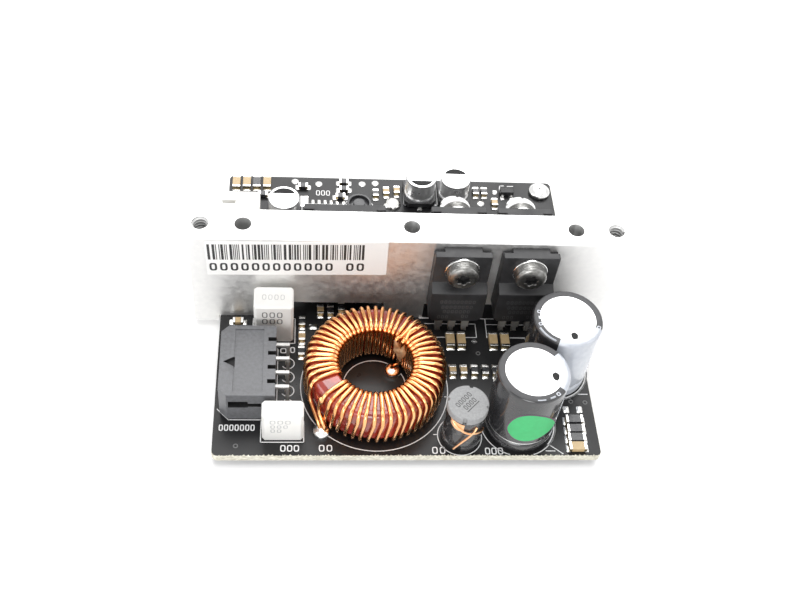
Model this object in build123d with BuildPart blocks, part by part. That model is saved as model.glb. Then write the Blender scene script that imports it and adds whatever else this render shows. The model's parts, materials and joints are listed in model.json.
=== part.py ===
from build123d import *
import os

# Power supply module: a circuit board under an upright heatsink bar, with the power parts
# screwed to both faces of the bar and the filter parts standing on the board.
# Frame: +X along the bar, +Y to the rear, +Z up. The origin lies on the surface that the
# module stands on, under the middle of the bar's length and of the board's depth.
# Places on the board are given from its centre line (x) and its front edge (y), in mm.

# Board
board_w = 68.8
board_d = 67.6
board_t = 1.6
board_corner = 1.0
board_x = -0.3
pad_t = 0.06
lead_fit = 0.12

# Sides of round things that are drawn as prisms, to keep the faces few
lead_sides = 6
shank_sides = 8
head_sides = 14
drum_sides = 24
can_sides = 30
core_sides = 48

# Screws under the board. Their heads, and the trimmed leads, are what the module stands on.
board_screw_head_r = 2.8
board_screw_head_h = 2.0
board_screw_r = 1.4
board_screw_bite = 6.0
board_screw_fit = 0.3

board_stand = board_screw_head_h
board_top = board_stand + board_t
board_front = -board_d / 2
pad_top = board_top + pad_t

# Heatsink bar
bar_len = 79.0
bar_t = 7.2
bar_y = 34.1
bar_rise = 21.9
channel_h = 4.3
end_foot_gap = 51.4
middle_foot_w = 7.5
lip_fit = 0.3
end_hole_pitch = 75.0
end_hole_r = 1.5
end_hole_depth = 12.0
foot_hole_pitch = 30.0
foot_hole_r = 1.5
foot_hole_depth = 12.0
foot_bore_room = 1.0
bar_edge = 0.2

bar_top = board_top + bar_rise
bar_mid_y = board_front + bar_y

# Insulated power packages, screwed to the bar
package_w = 10.2
package_h = 16.0
package_t = 4.5
package_tab_t = 2.5
package_top = 20.9
package_ledge = 7.0
package_ledge_slope = 1.0
package_hole_drop = 3.4
package_notch_w = 1.7
package_notch_h = 0.9
package_notch_t = 1.2
package_corner = 1.0
package_hole_r = 1.7
package_lead_pitch = 2.54
package_xs = (9.4, 21.7)

wide_w = 14.8
wide_h = 19.2
wide_t = 4.8
wide_ledge = 9.5
wide_hole_drop = 5.0
wide_lead_pitch = 5.08
wide_x = -11.5

lead_back = 2.5
lead_t = 0.6
lead_w = 0.75
shoulder_w = 1.4
shoulder_end = 0.9

# Screws and washers that hold the packages
screw_r = 1.4
screw_bore_r = 1.5
screw_head_r = 2.8
screw_head_h = 2.1
screw_dome = 0.45
screw_socket_r = 1.15
screw_socket_depth = 1.2
screw_bite = 3.3
washer_r = 3.15
washer_bore = 1.6
washer_t = 0.5
blind_hole_depth = 5.0

# Toroid
toroid_x = -6.0
toroid_y = 14.2
core_od = 23.9
core_id = 14.2
core_h = 7.9
core_edge = 0.9
wire_d = 0.75
wire_fit = 0.02
turn_sides = 4
turn_count = 52
turn_step = 6.7
turn_gap_middle = 211.0
toroid_lift = 0.25
toroid_pads = ((-15.4, 4.8), (-2.3, 17.7))
toroid_pad_r = 1.35
toroid_pad_h = 1.0
mound_slope = 0.7
toroid_end_fit = 0.05
toroid_end_share = 0.6

# Input connector: a right-angle housing with two rows of four pins, mouth to -X
input_x = -33.4
input_y = 7.5
input_depth = 9.8
input_w = 15.0
input_h = 7.5
input_wall = 1.6
input_floor = 1.0
input_cavity = 7.0
input_comb = 1.4
input_chamfer = 1.4
input_pin = 0.64
input_pin_pitch = 3.0
input_pin_count = 4
input_pin_reach = 2.7
input_upper_z = 5.7
input_row_step = 3.0
input_upper_x = -21.5
input_slot_w = 0.8
panel_setback = 2.5
panel_margin = 0.8
panel_depth = 0.25
mark_x = 0.65
mark_shift = 0.4
mark_len = 2.0
mark_w = 2.2
mark_depth = 0.6
side_slots = ((1.7, 3.4, 3.65, 5.5), (5.1, 2.3, 3.9, 4.9))
side_slot_depth = 1.1

# Output connector: a low one-row housing at the rear left edge, mouth to -X
output_x = -35.2
output_y = 45.6
output_depth = 7.6
output_w = 11.5
output_h = 6.2
output_wall = 0.8
output_cavity = 5.4
output_slot = 2.7
output_pin = 0.64
output_pin_pitch = 2.5
output_pin_count = 4
output_pin_z = 3.1
output_pin_reach = 1.3
output_pin_drop = 0.9

# Film capacitors: (x, y of the middle, length, thickness, height)
film_edge = 0.5
film_lead_r = 0.3
film_lead_pitch = 5.0
tall_film = (-24.2, 26.9, 7.2, 5.0, 10.2)
short_film = (-22.2, 4.9, 7.2, 3.5, 7.5)

# Electrolytic capacitors with sleeves: (x, y, height)
can_r = 6.15
can_shoulder = 0.9
can_groove_z = 2.6
can_groove = 0.45
groove_slope = 45
sleeve_t = 0.15
sleeve_lip = 1.3
sleeve_foot = 0.5
can_lead_r = 0.4
can_lead_pitch = 5.0
front_can = (20.0, 6.85, 16.5)
rear_can = (27.6, 18.3, 16.4)

# Drum chokes: (x, y, flange radius, height)
choke_flange_t = 1.5
choke_post_share = 0.45
choke_wrap_inset = 0.15
choke_notch_w = 0.8
choke_notch_depth = 0.35
choke_notch_turn = -14.0
choke_lead_r = 0.35
front_choke = (9.35, 4.35, 3.6, 10.4)
rear_chokes = ((11.8, 54.4, 3.05, 6.0), (25.4, 54.5, 3.05, 6.0))

# Chip capacitors in cans: (x, y)
chip_can_r = 3.15
chip_can_h = 4.6
chip_can_groove = 0.25
chip_base = 6.6
chip_base_h = 1.2
chip_base_chamfer = 1.0
chip_tab_w = 0.7
chip_tab_reach = 0.5
chip_tab_t = 0.25
chip_cans = ((5.4, 62.5), (12.6, 62.5), (-22.9, 55.8))

# Controller in a flat package with seven leads on each long side
controller = (-14.4, 56.6)
controller_len = 8.7
controller_w = 3.9
controller_body_h = 1.4
controller_gap = 0.15
controller_pitch = 1.27
controller_leads = 7
controller_lead_w = 0.42
controller_lead_t = 0.2
controller_reach = 1.05
controller_pad = 2.0

# Small transistor with three leads
small_transistor = (24.4, 64.0)
small_len = 2.9
small_w = 1.4
small_h = 1.0

# Low round choke beside the controller
round_choke = (-7.4, 58.7)
round_choke_r = 2.55
round_choke_h = 2.0
round_choke_rim = 0.5
round_choke_post_r = 1.2
round_choke_recess = 0.9

# Chips, by size: (length, width, height), each with metal ends of chip_end length
chip_sizes = {"large": (3.2, 1.6, 1.0), "small": (2.0, 1.25, 0.8)}
chip_end = 0.5
chip_pad_reaches = {"large": 0.45, "small": 0.65}
ceramic_chips = (
    ("large", 9.05, 24.8, 90), ("large", 11.15, 24.8, 90),
    ("large", 17.3, 24.8, 90), ("large", 19.55, 24.8, 90),
    ("small", 9.0, 17.9, 90), ("small", 11.05, 17.9, 90),
    ("large", 30.15, 1.55, 0), ("small", -31.0, 28.8, 0),
    ("small", -19.0, 25.3, 90), ("small", -15.5, 31.6, 90),
    ("large", -32.9, 65.1, 90), ("large", -30.75, 65.2, 90), ("large", -26.55, 65.3, 90),
    ("small", -1.5, 63.6, 90), ("small", 0.75, 63.9, 90), ("small", 21.5, 61.0, 90),
)
chip_resistors = (
    ("small", 13.05, 17.9, 90), ("small", 15.1, 17.9, 90), ("small", 17.05, 17.9, 90),
    ("large", 30.35, 7.15, 0), ("large", 30.3, 5.2, 0), ("large", 30.2, 3.35, 0),
    ("small", -19.0, 28.8, 90), ("small", -19.1, 21.9, 90),
    ("small", -13.6, 31.6, 90), ("small", -11.5, 32.5, 90),
    ("large", -28.7, 65.25, 90), ("small", -19.0, 64.6, 0), ("small", -27.3, 62.0, 0),
    ("small", -10.4, 66.0, 0), ("small", -10.4, 64.0, 0), ("small", -11.2, 61.9, 0),
    ("small", -3.75, 62.9, 90), ("small", 17.7, 64.1, 90), ("small", 19.5, 64.1, 90),
)
bare_pads = (
    (29.3, 9.65, 1.1, 1.4), (31.8, 9.65, 1.1, 1.4), (-16.9, 27.9, 1.5, 1.2),
    (-3.7, 66.3, 1.5, 1.5), (22.0, 64.5, 1.0, 1.2),
)
round_pads = ((-20.7, 66.3), (-15.7, 65.7), (-6.5, 66.0), (-18.9, 61.5), (18.6, 61.1))
round_pad_r = 0.75
solder_dome = (-0.2, 60.2)
solder_dome_r = 1.75
solder_dome_h = 0.7

# Corner screw with its nut under the board
corner_screw = (31.6, 64.6)
corner_screw_r = 1.2
corner_head_r = 2.25
corner_head_h = 1.4
corner_nut_r = 2.75
corner_slot_w = 0.5
corner_slot_depth = 0.6
corner_bore_fit = 0.15

# Label on the bar's front face
label_x = -20.1
label_z = 16.9
label_len = 32.3
label_h = 8.9
label_t = 0.1
label_tilt = 1.2

# Solder cone around a lead under the board
joint_r = 0.95
joint_h = 1.1
joint_edge = 0.35

BASE = (Align.CENTER, Align.CENTER, Align.MIN)
CORNER = (Align.MIN, Align.MIN, Align.MIN)

screw_holes = []
wire_holes = []
flat_leads = []
round_leads = []
lead_parts = []


def on_board(x, y, z=0.0):
    """The point at x, y on the board, z above its top."""
    return (board_x + x, board_front + y, board_top + z)


def save(part, name):
    part.label = name
    export_step(part, f"parts/{name}.step")


def save_leads(part, name):
    """Save leads that go through the board. Their solder cones are cut to fit them later."""
    lead_parts.append(part)
    save(part, name)


def straight_leads(points, radius):
    """Round leads from the board's top down to the surface that the module stands on."""
    with BuildPart() as leads:
        with BuildSketch(Plane.XY):
            with Locations(*points):
                RegularPolygon(radius, lead_sides)
        extrude(amount=board_top)
    round_leads.extend((x, y, radius) for x, y in points)
    return leads.part


def face_plane(x, side, reach, z):
    """A plane on a face of the bar, reach away from it. Its normal points away from the bar."""
    return Plane(
        origin=(x, bar_mid_y + side * (bar_t / 2 + reach), z),
        x_dir=(1, 0, 0),
        z_dir=(0, side, 0),
    )


os.makedirs("parts", exist_ok=True)


# Heatsink bar with three feet, which stand on the board, and lips past the board's ends
package_z = board_top + package_top
hole_z = package_z - package_hole_drop
wide_hole_z = package_z - wide_hole_drop
foot_w = (bar_len - end_foot_gap) / 2
foot_places = [(step * foot_hole_pitch, bar_mid_y) for step in (-1, 0, 1)]

with BuildPart() as bar:
    with BuildSketch(Plane.XZ.offset(-(bar_mid_y + bar_t / 2))):
        with Locations((0, board_top + channel_h)):
            Rectangle(bar_len, bar_rise - channel_h, align=(Align.CENTER, Align.MIN))
        with Locations((0, board_top)):
            Rectangle(middle_foot_w, channel_h, align=(Align.CENTER, Align.MIN))
        for side in (-1, 1):
            lip_start = side * board_w / 2 + board_x + side * lip_fit
            foot_middle = side * (bar_len - foot_w) / 2
            with Locations((foot_middle, board_top)):
                Rectangle(foot_w, channel_h, align=(Align.CENTER, Align.MIN))
            with Locations(((lip_start + side * bar_len / 2) / 2, board_stand)):
                Rectangle(abs(side * bar_len / 2 - lip_start), board_t, align=(Align.CENTER, Align.MIN))
    extrude(amount=bar_t)
    chamfer(bar.faces().sort_by(Axis.Z)[-1].edges(), bar_edge)
    with Locations(*[(side * end_hole_pitch / 2, bar_mid_y, bar_top) for side in (-1, 1)]):
        Hole(end_hole_r, depth=end_hole_depth)
    with Locations(*[(x, y, bar_top) for x, y in foot_places]):
        Hole(foot_hole_r, depth=foot_hole_depth)
    with BuildSketch(Plane.XY.offset(board_top)):
        with Locations(*foot_places):
            RegularPolygon(screw_bore_r, shank_sides)
    extrude(amount=board_screw_bite + foot_bore_room, mode=Mode.SUBTRACT)
    for x in package_xs:
        with BuildSketch(face_plane(board_x + x, -1, 0, hole_z)):
            RegularPolygon(screw_bore_r, shank_sides)
        extrude(amount=-bar_t, mode=Mode.SUBTRACT)
    with BuildSketch(face_plane(board_x + wide_x, 1, 0, wide_hole_z)):
        RegularPolygon(screw_bore_r, shank_sides)
    extrude(amount=-blind_hole_depth, mode=Mode.SUBTRACT)
save(bar.part, "heatsink_bar")


# Power packages: a thick lower body, a sloped ledge and a thin upper part with the screw hole
def package_body(x, side, width, height, thick, ledge, drop):
    """A package on the side of the bar; side is -1 in front and 1 behind."""
    face_y = bar_mid_y + side * bar_t / 2
    bottom = package_z - height
    tab_y = face_y + side * package_tab_t
    front_y = face_y + side * thick
    with BuildPart() as body:
        with BuildSketch(Plane.YZ.offset(x)):
            with BuildLine():
                Polyline(
                    (face_y, bottom),
                    (front_y, bottom),
                    (front_y, package_z - ledge - package_ledge_slope),
                    (tab_y, package_z - ledge),
                    (tab_y, package_z),
                    (face_y, package_z),
                    close=True,
                )
            make_face()
        extrude(amount=width / 2, both=True)
        chamfer(body.edges().filter_by(Axis.Y).group_by(Axis.Z)[0], package_corner)
        for end in (-1, 1):
            notch = face_plane(x + end * (width - package_notch_w) / 2, side, 0,
                               package_z - package_notch_h / 2)
            with Locations(notch):
                Box(package_notch_w, package_notch_h, 2 * package_notch_t, mode=Mode.SUBTRACT)
        with BuildSketch(face_plane(x, side, package_tab_t, package_z - drop)):
            RegularPolygon(package_hole_r, shank_sides)
        extrude(amount=-package_tab_t, mode=Mode.SUBTRACT)
    return body.part


def package_leads(x, side, pitch, height, count=3):
    """Flat leads with broad shoulders, down through the board."""
    lead_y = bar_mid_y + side * (bar_t / 2 + lead_back)
    body_bottom = package_z - height
    shoulder_bottom = board_top + shoulder_end
    with BuildPart() as leads:
        with BuildSketch(Plane.XZ.offset(-lead_y)):
            for index in range(count):
                lead_x = x + (index - (count - 1) / 2) * pitch
                with Locations((lead_x, shoulder_bottom)):
                    Rectangle(shoulder_w, body_bottom - shoulder_bottom, align=(Align.CENTER, Align.MIN))
                with Locations((lead_x, 0)):
                    Rectangle(lead_w, shoulder_bottom, align=(Align.CENTER, Align.MIN))
                flat_leads.append((lead_x, lead_y, lead_w, lead_t))
        extrude(amount=lead_t / 2, both=True)
    return leads.part


for side, row in ((-1, "front"), (1, "rear")):
    for x, place in zip(package_xs, ("left", "right")):
        body = package_body(board_x + x, side, package_w, package_h, package_t,
                            package_ledge, package_hole_drop)
        save(body, f"{row}_{place}_transistor")
        save_leads(package_leads(board_x + x, side, package_lead_pitch, package_h),
                   f"{row}_{place}_transistor_leads")

save(package_body(board_x + wide_x, 1, wide_w, wide_h, wide_t, wide_ledge, wide_hole_drop),
     "wide_rectifier")
save_leads(package_leads(board_x + wide_x, 1, wide_lead_pitch, wide_h), "wide_rectifier_leads")


# Package screws and washers: a pan head with a socket, the washer under it
screw_places = [(board_x + x, side, hole_z) for side in (-1, 1) for x in package_xs]
screw_places.append((board_x + wide_x, 1, wide_hole_z))

with BuildPart() as washers:
    for x, side, z in screw_places:
        with BuildSketch(face_plane(x, side, package_tab_t, z)):
            RegularPolygon(washer_r, head_sides)
            RegularPolygon(washer_bore, shank_sides, mode=Mode.SUBTRACT)
        extrude(amount=washer_t)
save(washers.part, "transistor_washers")


def pan_screw(head_r, head_h, shank_r, shank_len):
    """A pan-head screw standing on its shank, with the underside of its head at the origin."""
    with BuildPart() as screw:
        with BuildSketch(Plane.XY):
            RegularPolygon(head_r, head_sides)
        extrude(amount=head_h)
        chamfer(screw.faces().sort_by(Axis.Z)[-1].edges(), screw_dome)
        with BuildSketch(Plane.XY):
            RegularPolygon(shank_r, shank_sides)
        extrude(amount=-shank_len)
    return screw


package_screw = pan_screw(
    screw_head_r, screw_head_h, screw_r, package_tab_t + washer_t + screw_bite
)
with BuildPart() as head:
    add(package_screw.part)
    with BuildSketch(Plane.XY.offset(screw_head_h - screw_socket_depth)):
        RegularPolygon(screw_socket_r, 6)
    extrude(amount=screw_socket_depth, mode=Mode.SUBTRACT)

with BuildPart() as screws:
    for x, side, z in screw_places:
        with Locations(face_plane(x, side, package_tab_t + washer_t, z)):
            add(head.part)
save(screws.part, "transistor_screws")


# Board screws from below into the feet of the bar
with BuildPart() as board_screws:
    with BuildSketch(Plane.XY):
        with Locations(*foot_places):
            RegularPolygon(board_screw_head_r, head_sides)
    extrude(amount=board_screw_head_h)
    chamfer(board_screws.faces().group_by(Axis.Z)[0].edges(), board_screw_head_h / 5)
    with BuildSketch(Plane.XY.offset(board_screw_head_h)):
        with Locations(*foot_places):
            RegularPolygon(board_screw_r, shank_sides)
    extrude(amount=board_t + board_screw_bite)
screw_holes += [(x, y, board_screw_r + board_screw_fit) for x, y in foot_places]
save(board_screws.part, "board_screws")


# Corner screw and nut
corner_x, corner_y, corner_z = on_board(*corner_screw)
pan_head = pan_screw(corner_head_r, corner_head_h, corner_screw_r, board_t + board_stand)
with BuildPart() as corner:
    add(pan_head.part)
    with Locations((0, 0, corner_head_h)):
        Box(corner_head_r * 1.3, corner_slot_w, corner_slot_depth * 2, mode=Mode.SUBTRACT)
with BuildPart() as corner_placed:
    with Locations((corner_x, corner_y, corner_z)):
        add(corner.part)
save(corner_placed.part, "corner_screw")
screw_holes.append((corner_x, corner_y, corner_screw_r + corner_bore_fit))

with BuildPart() as nut:
    with BuildSketch(Plane.XY):
        with Locations((corner_x, corner_y)):
            RegularPolygon(corner_nut_r, 6)
            RegularPolygon(corner_screw_r, shank_sides, mode=Mode.SUBTRACT)
    extrude(amount=board_stand)
save(nut.part, "corner_nut")


# Toroid: a ring core with broken edges, and turns that each go once round its section
ring_x, ring_y, ring_z = on_board(toroid_x, toroid_y, toroid_lift + wire_d)
ring_in = core_id / 2
ring_out = core_od / 2

with BuildPart() as core:
    with BuildSketch(Plane((ring_x, ring_y, ring_z))):
        RegularPolygon(ring_out, core_sides)
        RegularPolygon(ring_in, core_sides, major_radius=False, mode=Mode.SUBTRACT)
    extrude(amount=core_h)
    faces_by_height = core.faces().filter_by(Axis.Z).sort_by(Axis.Z)
    chamfer(faces_by_height[0].edges() + faces_by_height[-1].edges(), core_edge)
save(core.part, "toroid_core")

wire_out = wire_d / 2 + wire_fit
with BuildPart() as turn:
    with BuildLine(Plane.XZ) as loop:
        inner = ring_in - wire_out
        outer = ring_out + wire_out
        low = -wire_out
        high = core_h + wire_out
        cut = core_edge + (2 - 2**0.5) * wire_out
        Polyline(
            (inner, low + cut), (inner, high - cut), (inner + cut, high), (outer - cut, high),
            (outer, high - cut), (outer, low + cut), (outer - cut, low), (inner + cut, low),
            close=True,
        )
    with BuildSketch(Plane(origin=(inner, 0, core_h / 2), x_dir=(1, 0, 0), z_dir=(0, 0, 1))):
        RegularPolygon(wire_d / 2, turn_sides)
    sweep(path=loop.wire(), transition=Transition.RIGHT)

first_turn = turn_gap_middle + (360 - (turn_count - 1) * turn_step) / 2
with BuildPart() as winding:
    with Locations((ring_x, ring_y, ring_z)):
        with PolarLocations(0, turn_count, start_angle=first_turn,
                            angular_range=(turn_count - 1) * turn_step, endpoint=True):
            add(turn.part)
save(winding.part, "toroid_winding")


# Toroid ends: at each pad two wires side by side come down beside the turns, in a solder dome
wire_beside = wire_fit + 1.5 * wire_d + toroid_end_fit
end_radii = (ring_out + wire_beside, ring_in - wire_beside)

with BuildPart() as wire_ends:
    for pad, touch_r in zip(toroid_pads, end_radii):
        pad_x, pad_y, _ = on_board(*pad)
        out = Vector(pad_x - ring_x, pad_y - ring_y, 0).normalized()
        along = Vector(-out.Y, out.X, 0)
        for step in (-1, 1):
            shift = along * (step * (wire_d / 2 + wire_fit))
            foot = Vector(pad_x, pad_y, 0) + shift
            knee = foot + Vector(0, 0, board_top + toroid_pad_h + wire_d)
            touch = Vector(ring_x, ring_y, ring_z + core_h * toroid_end_share) + out * touch_r + shift
            with BuildLine() as route:
                Polyline(foot, knee, touch)
            with BuildSketch(Plane(origin=foot, z_dir=(0, 0, 1))):
                RegularPolygon(wire_d / 2, lead_sides)
            sweep(path=route.wire(), transition=Transition.RIGHT)
        wire_holes.append((pad_x, pad_y, wire_d + wire_fit + lead_fit))
save(wire_ends.part, "toroid_wire_ends")


def solder_mound(radius, height):
    """A low mound of solder on the XY plane."""
    with BuildPart() as mound:
        with BuildSketch(Plane.XY):
            RegularPolygon(radius, head_sides)
        extrude(amount=height)
        chamfer(mound.faces().sort_by(Axis.Z)[-1].edges(), height * mound_slope)
    return mound.part


toroid_mound = solder_mound(toroid_pad_r, toroid_pad_h)
large_mound = solder_mound(solder_dome_r, solder_dome_h)
with BuildPart() as domes:
    with Locations(*[on_board(*pad) for pad in toroid_pads]):
        add(toroid_mound)
    with Locations(on_board(*solder_dome)):
        add(large_mound)
    add(wire_ends.part, mode=Mode.SUBTRACT)
save(domes.part, "solder_domes")


# Input connector
mouth_x, side_y, base_z = on_board(input_x, input_y)
input_mid_y = side_y + input_w / 2
input_pin_ys = [
    input_mid_y + (index - (input_pin_count - 1) / 2) * input_pin_pitch
    for index in range(input_pin_count)
]
cavity_end = mouth_x + input_cavity
comb_x = mouth_x + input_depth - input_comb
upper_x = board_x + input_upper_x

with BuildPart() as input_pins:
    for row in (0, 1):
        pin_z = base_z + input_upper_z - row * input_row_step
        bend_x = upper_x - row * input_row_step
        for y in input_pin_ys:
            with BuildSketch(Plane.XZ.offset(-y)):
                with BuildLine():
                    Polyline(
                        (cavity_end - input_pin_reach, pin_z + input_pin / 2),
                        (bend_x + input_pin / 2, pin_z + input_pin / 2),
                        (bend_x + input_pin / 2, 0),
                        (bend_x - input_pin / 2, 0),
                        (bend_x - input_pin / 2, pin_z - input_pin / 2),
                        (cavity_end - input_pin_reach, pin_z - input_pin / 2),
                        close=True,
                    )
                make_face()
            extrude(amount=input_pin / 2, both=True)
            flat_leads.append((bend_x, y, input_pin, input_pin))
save_leads(input_pins.part, "input_connector_pins")

with BuildPart() as input_housing:
    with Locations((mouth_x, side_y, base_z)):
        Box(input_depth, input_w, input_h, align=CORNER)
    chamfer(input_housing.edges().filter_by(Axis.Z).group_by(Axis.X)[0], input_chamfer)
    with Locations((mouth_x, side_y + input_wall, base_z + input_floor)):
        Box(input_cavity, input_w - 2 * input_wall, input_h - 2 * input_floor, align=CORNER,
            mode=Mode.SUBTRACT)
    for y in input_pin_ys:
        with Locations((comb_x, y, base_z)):
            Box(input_comb, input_slot_w, input_h, align=(Align.MIN, Align.CENTER, Align.MIN),
                mode=Mode.SUBTRACT)
    panel_start = mouth_x + panel_setback
    mark_mid_y = input_mid_y - mark_shift
    with Locations((panel_start, side_y + panel_margin, base_z + input_h - panel_depth)):
        Box(comb_x - panel_start - panel_margin, input_w - 2 * panel_margin, panel_depth, align=CORNER,
            mode=Mode.SUBTRACT)
    with BuildSketch(Plane.XY.offset(base_z + input_h)):
        with BuildLine():
            Polyline(
                (mouth_x + mark_x, mark_mid_y),
                (mouth_x + mark_x + mark_len, mark_mid_y + mark_w / 2),
                (mouth_x + mark_x + mark_len, mark_mid_y - mark_w / 2),
                close=True,
            )
        make_face()
    extrude(amount=-mark_depth, mode=Mode.SUBTRACT)
    for side in (-1, 1):
        for start, length, low, high in side_slots:
            slot_place = (mouth_x + start, input_mid_y + side * input_w / 2, base_z + low)
            with Locations(slot_place):
                Box(length, 2 * side_slot_depth, high - low, align=(Align.MIN, Align.CENTER, Align.MIN),
                    mode=Mode.SUBTRACT)
    add(input_pins.part, mode=Mode.SUBTRACT)
save(input_housing.part, "input_connector")


# Output connector
out_mouth_x, out_side_y, _ = on_board(output_x, output_y)
output_mid_y = out_side_y + output_w / 2
output_end = out_mouth_x + output_depth
out_cavity_end = out_mouth_x + output_cavity
output_pin_height = board_top + output_pin_z
output_pin_ys = [
    output_mid_y + (index - (output_pin_count - 1) / 2) * output_pin_pitch
    for index in range(output_pin_count)
]

with BuildPart() as output_pins:
    bend_x = output_end - output_pin_drop
    for y in output_pin_ys:
        with BuildSketch(Plane.XZ.offset(-y)):
            with BuildLine():
                Polyline(
                    (out_cavity_end - output_pin_reach, output_pin_height + output_pin / 2),
                    (bend_x + output_pin / 2, output_pin_height + output_pin / 2),
                    (bend_x + output_pin / 2, 0),
                    (bend_x - output_pin / 2, 0),
                    (bend_x - output_pin / 2, output_pin_height - output_pin / 2),
                    (out_cavity_end - output_pin_reach, output_pin_height - output_pin / 2),
                    close=True,
                )
            make_face()
        extrude(amount=output_pin / 2, both=True)
        flat_leads.append((bend_x, y, output_pin, output_pin))
save_leads(output_pins.part, "output_connector_pins")

with BuildPart() as output_housing:
    with Locations((out_mouth_x, out_side_y, board_top)):
        Box(output_depth, output_w, output_h, align=CORNER)
    chamfer(output_housing.edges().filter_by(Axis.Z).group_by(Axis.X)[-1], output_wall / 2)
    with Locations((out_mouth_x, out_side_y + output_wall, board_top + output_wall)):
        Box(output_cavity, output_w - 2 * output_wall, output_h - 2 * output_wall, align=CORNER,
            mode=Mode.SUBTRACT)
    for side in (-1, 1):
        with Locations((out_mouth_x, output_mid_y + side * output_w / 4, board_top + output_h)):
            Box(output_slot, output_wall, 2 * output_wall,
                align=(Align.MIN, Align.CENTER, Align.CENTER), mode=Mode.SUBTRACT)
    add(output_pins.part, mode=Mode.SUBTRACT)
save(output_housing.part, "output_connector")


# Film capacitors: boxes with broken edges and two leads each
film_lead_points = []
for size, name in ((tall_film, "tall_film_capacitor"), (short_film, "short_film_capacitor")):
    film_x, film_y, length, thick, height = size
    with BuildPart() as film:
        with Locations(on_board(film_x, film_y)):
            Box(length, thick, height, align=BASE)
        chamfer(film.edges().filter_by(Axis.Z), film_edge)
        chamfer(film.faces().sort_by(Axis.Z)[-1].edges(), film_edge / 2)
    save(film.part, name)
    x, y, _ = on_board(film_x, film_y)
    film_lead_points += [(x + side * film_lead_pitch / 2, y) for side in (-1, 1)]
save_leads(straight_leads(film_lead_points, film_lead_r), "film_capacitor_leads")


# Electrolytic capacitors: a can with a rolled groove, and a sleeve that follows it
def can_section(radius, height):
    """A can of this radius and height, with a groove rolled into its side."""
    with BuildPart() as solid:
        with BuildSketch(Plane.XY):
            RegularPolygon(radius, can_sides)
        extrude(amount=height)
        chamfer(solid.faces().sort_by(Axis.Z)[-1].edges(), can_shoulder)
        with BuildSketch(Plane.XY.offset(can_groove_z - can_groove)):
            RegularPolygon(radius + can_groove, can_sides)
        extrude(amount=2 * can_groove, mode=Mode.SUBTRACT)
        for side in (-1, 1):
            with BuildSketch(Plane.XY.offset(can_groove_z + side * can_groove)):
                RegularPolygon(radius, can_sides)
            extrude(amount=-side * can_groove, taper=groove_slope)
    return solid.part


can_lead_points = []
for size, name in ((front_can, "front_can"), (rear_can, "rear_can")):
    can_x, can_y, height = size
    place = on_board(can_x, can_y)
    plain_can = can_section(can_r, height - sleeve_t)
    with BuildPart() as can:
        with Locations(place):
            add(plain_can)
    save(can.part, name)
    with BuildPart() as sleeve_form:
        add(can_section(can_r + sleeve_t, height))
        with BuildSketch(Plane.XY):
            RegularPolygon(can_r - sleeve_lip, can_sides)
        extrude(amount=height, mode=Mode.SUBTRACT)
        with BuildSketch(Plane.XY):
            RegularPolygon(can_r + 2 * sleeve_t, can_sides)
        extrude(amount=sleeve_foot, mode=Mode.SUBTRACT)
        add(plain_can, mode=Mode.SUBTRACT)
    with BuildPart() as sleeve:
        with Locations(place):
            add(sleeve_form.part)
    save(sleeve.part, f"{name}_sleeve")
    can_lead_points += [(place[0] + side * can_lead_pitch / 2, place[1]) for side in (-1, 1)]
save_leads(straight_leads(can_lead_points, can_lead_r), "can_leads")


# Drum chokes: a flanged core, the wrapped winding between its flanges, and two leads
choke_lead_points = []
chokes = (("front_choke", front_choke, 4), ("rear_left_choke", rear_chokes[0], 0),
          ("rear_right_choke", rear_chokes[1], 0))
for name, (choke_x, choke_y, flange_r, height), notches in chokes:
    place = on_board(choke_x, choke_y)
    post_r = flange_r * choke_post_share
    wrap_h = height - 2 * choke_flange_t
    with BuildPart() as drum:
        for level in (0, height - choke_flange_t):
            with BuildSketch(Plane(on_board(choke_x, choke_y, level))):
                RegularPolygon(flange_r, drum_sides)
            extrude(amount=choke_flange_t)
        with BuildSketch(Plane(on_board(choke_x, choke_y, choke_flange_t))):
            RegularPolygon(post_r, shank_sides)
        extrude(amount=wrap_h)
        if notches:
            with Locations(on_board(choke_x, choke_y, height)):
                with PolarLocations(flange_r, notches, start_angle=choke_notch_turn):
                    Box(2 * choke_notch_depth, choke_notch_w, 2 * choke_flange_t,
                        mode=Mode.SUBTRACT)
    save(drum.part, f"{name}_core")
    with BuildPart() as wrap:
        with BuildSketch(Plane(on_board(choke_x, choke_y, choke_flange_t))):
            RegularPolygon(flange_r - choke_wrap_inset, drum_sides)
            RegularPolygon(post_r, shank_sides, mode=Mode.SUBTRACT)
        extrude(amount=wrap_h)
    save(wrap.part, f"{name}_winding")
    lead_reach = flange_r * 0.65
    choke_lead_points += [(place[0] + side * lead_reach, place[1]) for side in (-1, 1)]
save_leads(straight_leads(choke_lead_points, choke_lead_r), "choke_leads")


# Chip capacitors: a can on a square base with two chamfered corners and two flat tabs
with BuildPart() as chip_can_form:
    with BuildSketch(Plane.XY):
        RegularPolygon(chip_can_r, drum_sides)
    extrude(amount=chip_can_h)
    can_ends = chip_can_form.faces().filter_by(Axis.Z)
    chamfer(can_ends.edges(), chip_can_groove)

with BuildPart() as chip_can_bodies:
    with Locations(*[on_board(x, y, pad_t + chip_tab_t + chip_base_h) for x, y in chip_cans]):
        add(chip_can_form.part)
save(chip_can_bodies.part, "chip_capacitor_cans")

with BuildPart() as chip_base_form:
    Box(chip_base, chip_base, chip_base_h, align=BASE)
    chamfer(chip_base_form.edges().filter_by(Axis.Z).group_by(Axis.Y)[0], chip_base_chamfer)
with BuildPart() as chip_bases:
    with Locations(*[on_board(x, y, pad_t + chip_tab_t) for x, y in chip_cans]):
        add(chip_base_form.part)
save(chip_bases.part, "chip_capacitor_bases")

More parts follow.
